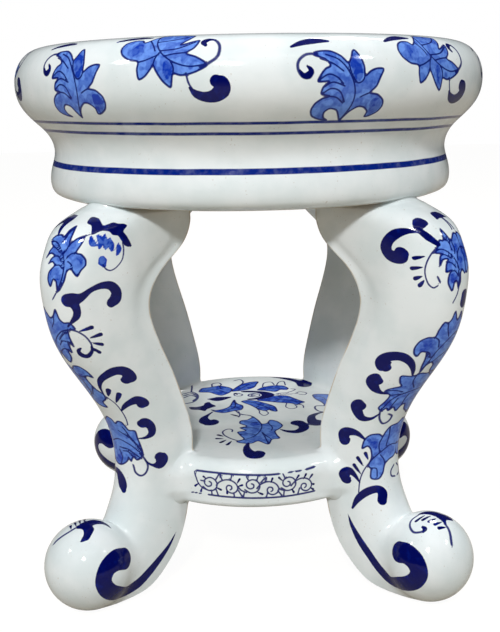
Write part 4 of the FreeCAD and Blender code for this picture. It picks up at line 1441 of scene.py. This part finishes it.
# %% Floor
floor_shape = bmesh.new()
bmesh.ops.create_grid(floor_shape, x_segments=2, y_segments=2, size=6.0)
floor_mesh = bpy.data.meshes.new("floor")
floor_shape.to_mesh(floor_mesh)
floor_shape.free()
FLOOR_BELOW = 0.1
floor_mesh.transform(Matrix.Translation((0, 0, -FLOOR_BELOW * mm)))
floor = bpy.data.objects.new("floor", floor_mesh)
bpy.context.scene.collection.objects.link(floor)
finish = Finish(bpy.data.materials.new("pale_floor"))
path = finish.node("ShaderNodeLightPath", output=0)
glossy = finish.node("ShaderNodeLightPath", output=3)
seen = (path * 0.80).most(glossy * 0.06)
matt = finish.node("ShaderNodeBsdfDiffuse", {}, {"Color": colour(172, 163, 148)})
bright = finish.node("ShaderNodeEmission", {}, {"Color": (1, 1, 1, 1), "Strength": 1.2})
both = finish.node("ShaderNodeMixShader", {}, {0: seen, 1: matt, 2: bright})
finish.node("ShaderNodeOutputMaterial", {}, {"Surface": both})
floor_mesh.materials.append(finish.owner)


# %% Lights
def softbox(name, place, target, width, height, power):
    """A rectangular lamp that looks at a target. Sizes are in metres, power in watts."""
    light = bpy.data.lights.new(name, "AREA")
    light.shape, light.size, light.size_y, light.energy = "RECTANGLE", width, height, power
    item = bpy.data.objects.new(name, light)
    bpy.context.scene.collection.objects.link(item)
    item.location = place
    item.rotation_euler = (Vector(target) - Vector(place)).to_track_quat("-Z", "Y").to_euler()


softbox("key_light", (-0.34, -1.95, 1.68), (0, 0, 0.22), 0.24, 0.24, 34)
softbox("overhead_light", (0.0, -0.3, 2.3), (0, 0, 0.2), 2.0, 2.0, 3)
softbox("strip_light", (0.15, -1.5, 2.2), (0, 0, 0.4), 1.7, 0.05, 3)
softbox("right_light", (1.6, -0.9, 1.8), (0, 0, 0.3), 0.25, 0.25, 9)
softbox("rear_light", (0.8, 1.5, 2.5), (0, 0, 0.25), 0.5, 0.5, 26)
softbox("left_light", (-1.7, -0.7, 1.7), (0, 0, 0.3), 0.25, 0.25, 9)
world = bpy.data.worlds.new("studio")
bpy.context.scene.world = world
finish = Finish(world)
glossy = finish.node("ShaderNodeLightPath", output=3)
seen = finish.node("ShaderNodeLightPath", output=0).most(glossy * 0.02)
SKY = (0.94, 0.97, 1.0, 1)
dim = finish.node("ShaderNodeBackground", {}, {"Color": SKY, "Strength": 0.29})
dark = finish.node("ShaderNodeBackground", {}, {"Color": SKY, "Strength": 0.015})
white = finish.node("ShaderNodeBackground", {}, {"Color": (1, 1, 1, 1), "Strength": 1.0})
room = finish.node("ShaderNodeMixShader", {}, {0: glossy * 0.95, 1: dim, 2: dark})
both = finish.node("ShaderNodeMixShader", {}, {0: seen, 1: room, 2: white})
finish.node("ShaderNodeOutputWorld", {}, {"Surface": both})

# %% [markdown]
# ## The camera
# The camera stands 0.8 m in front, a little below the top of the seat, and is held
# slightly tilted. Its place, aim and lens come from fitting the rim, the ruled lines
# and the feet to the photograph. The stool there is turned by one degree, so the
# camera goes round it by as much instead.

# %% Camera
FOCAL_PIXELS, FRAME_HEIGHT = 922.0, 632
ROLL, OBJECT_TURN = -0.0179, 0.0169
camera = bpy.data.objects.new("camera", bpy.data.cameras.new("camera"))
bpy.context.scene.collection.objects.link(camera)
bpy.context.scene.camera = camera
camera.data.lens = camera.data.sensor_width * FOCAL_PIXELS / FRAME_HEIGHT
stand, aim = Vector((0, -0.797, 0.3929)), Vector((-0.00214, 0, 0.19997))
ahead = (aim - stand).normalized()
right = ahead.cross(Vector((0, 0, 1))).normalized()
up = right.cross(ahead)
level = Matrix((right, up, -ahead)).transposed().to_4x4()
camera.matrix_world = (Matrix.Rotation(-OBJECT_TURN, 4, "Z") @ Matrix.Translation(stand) @ level
                       @ Matrix.Rotation(ROLL, 4, "Z"))
bpy.context.scene.view_settings.view_transform = "Standard"
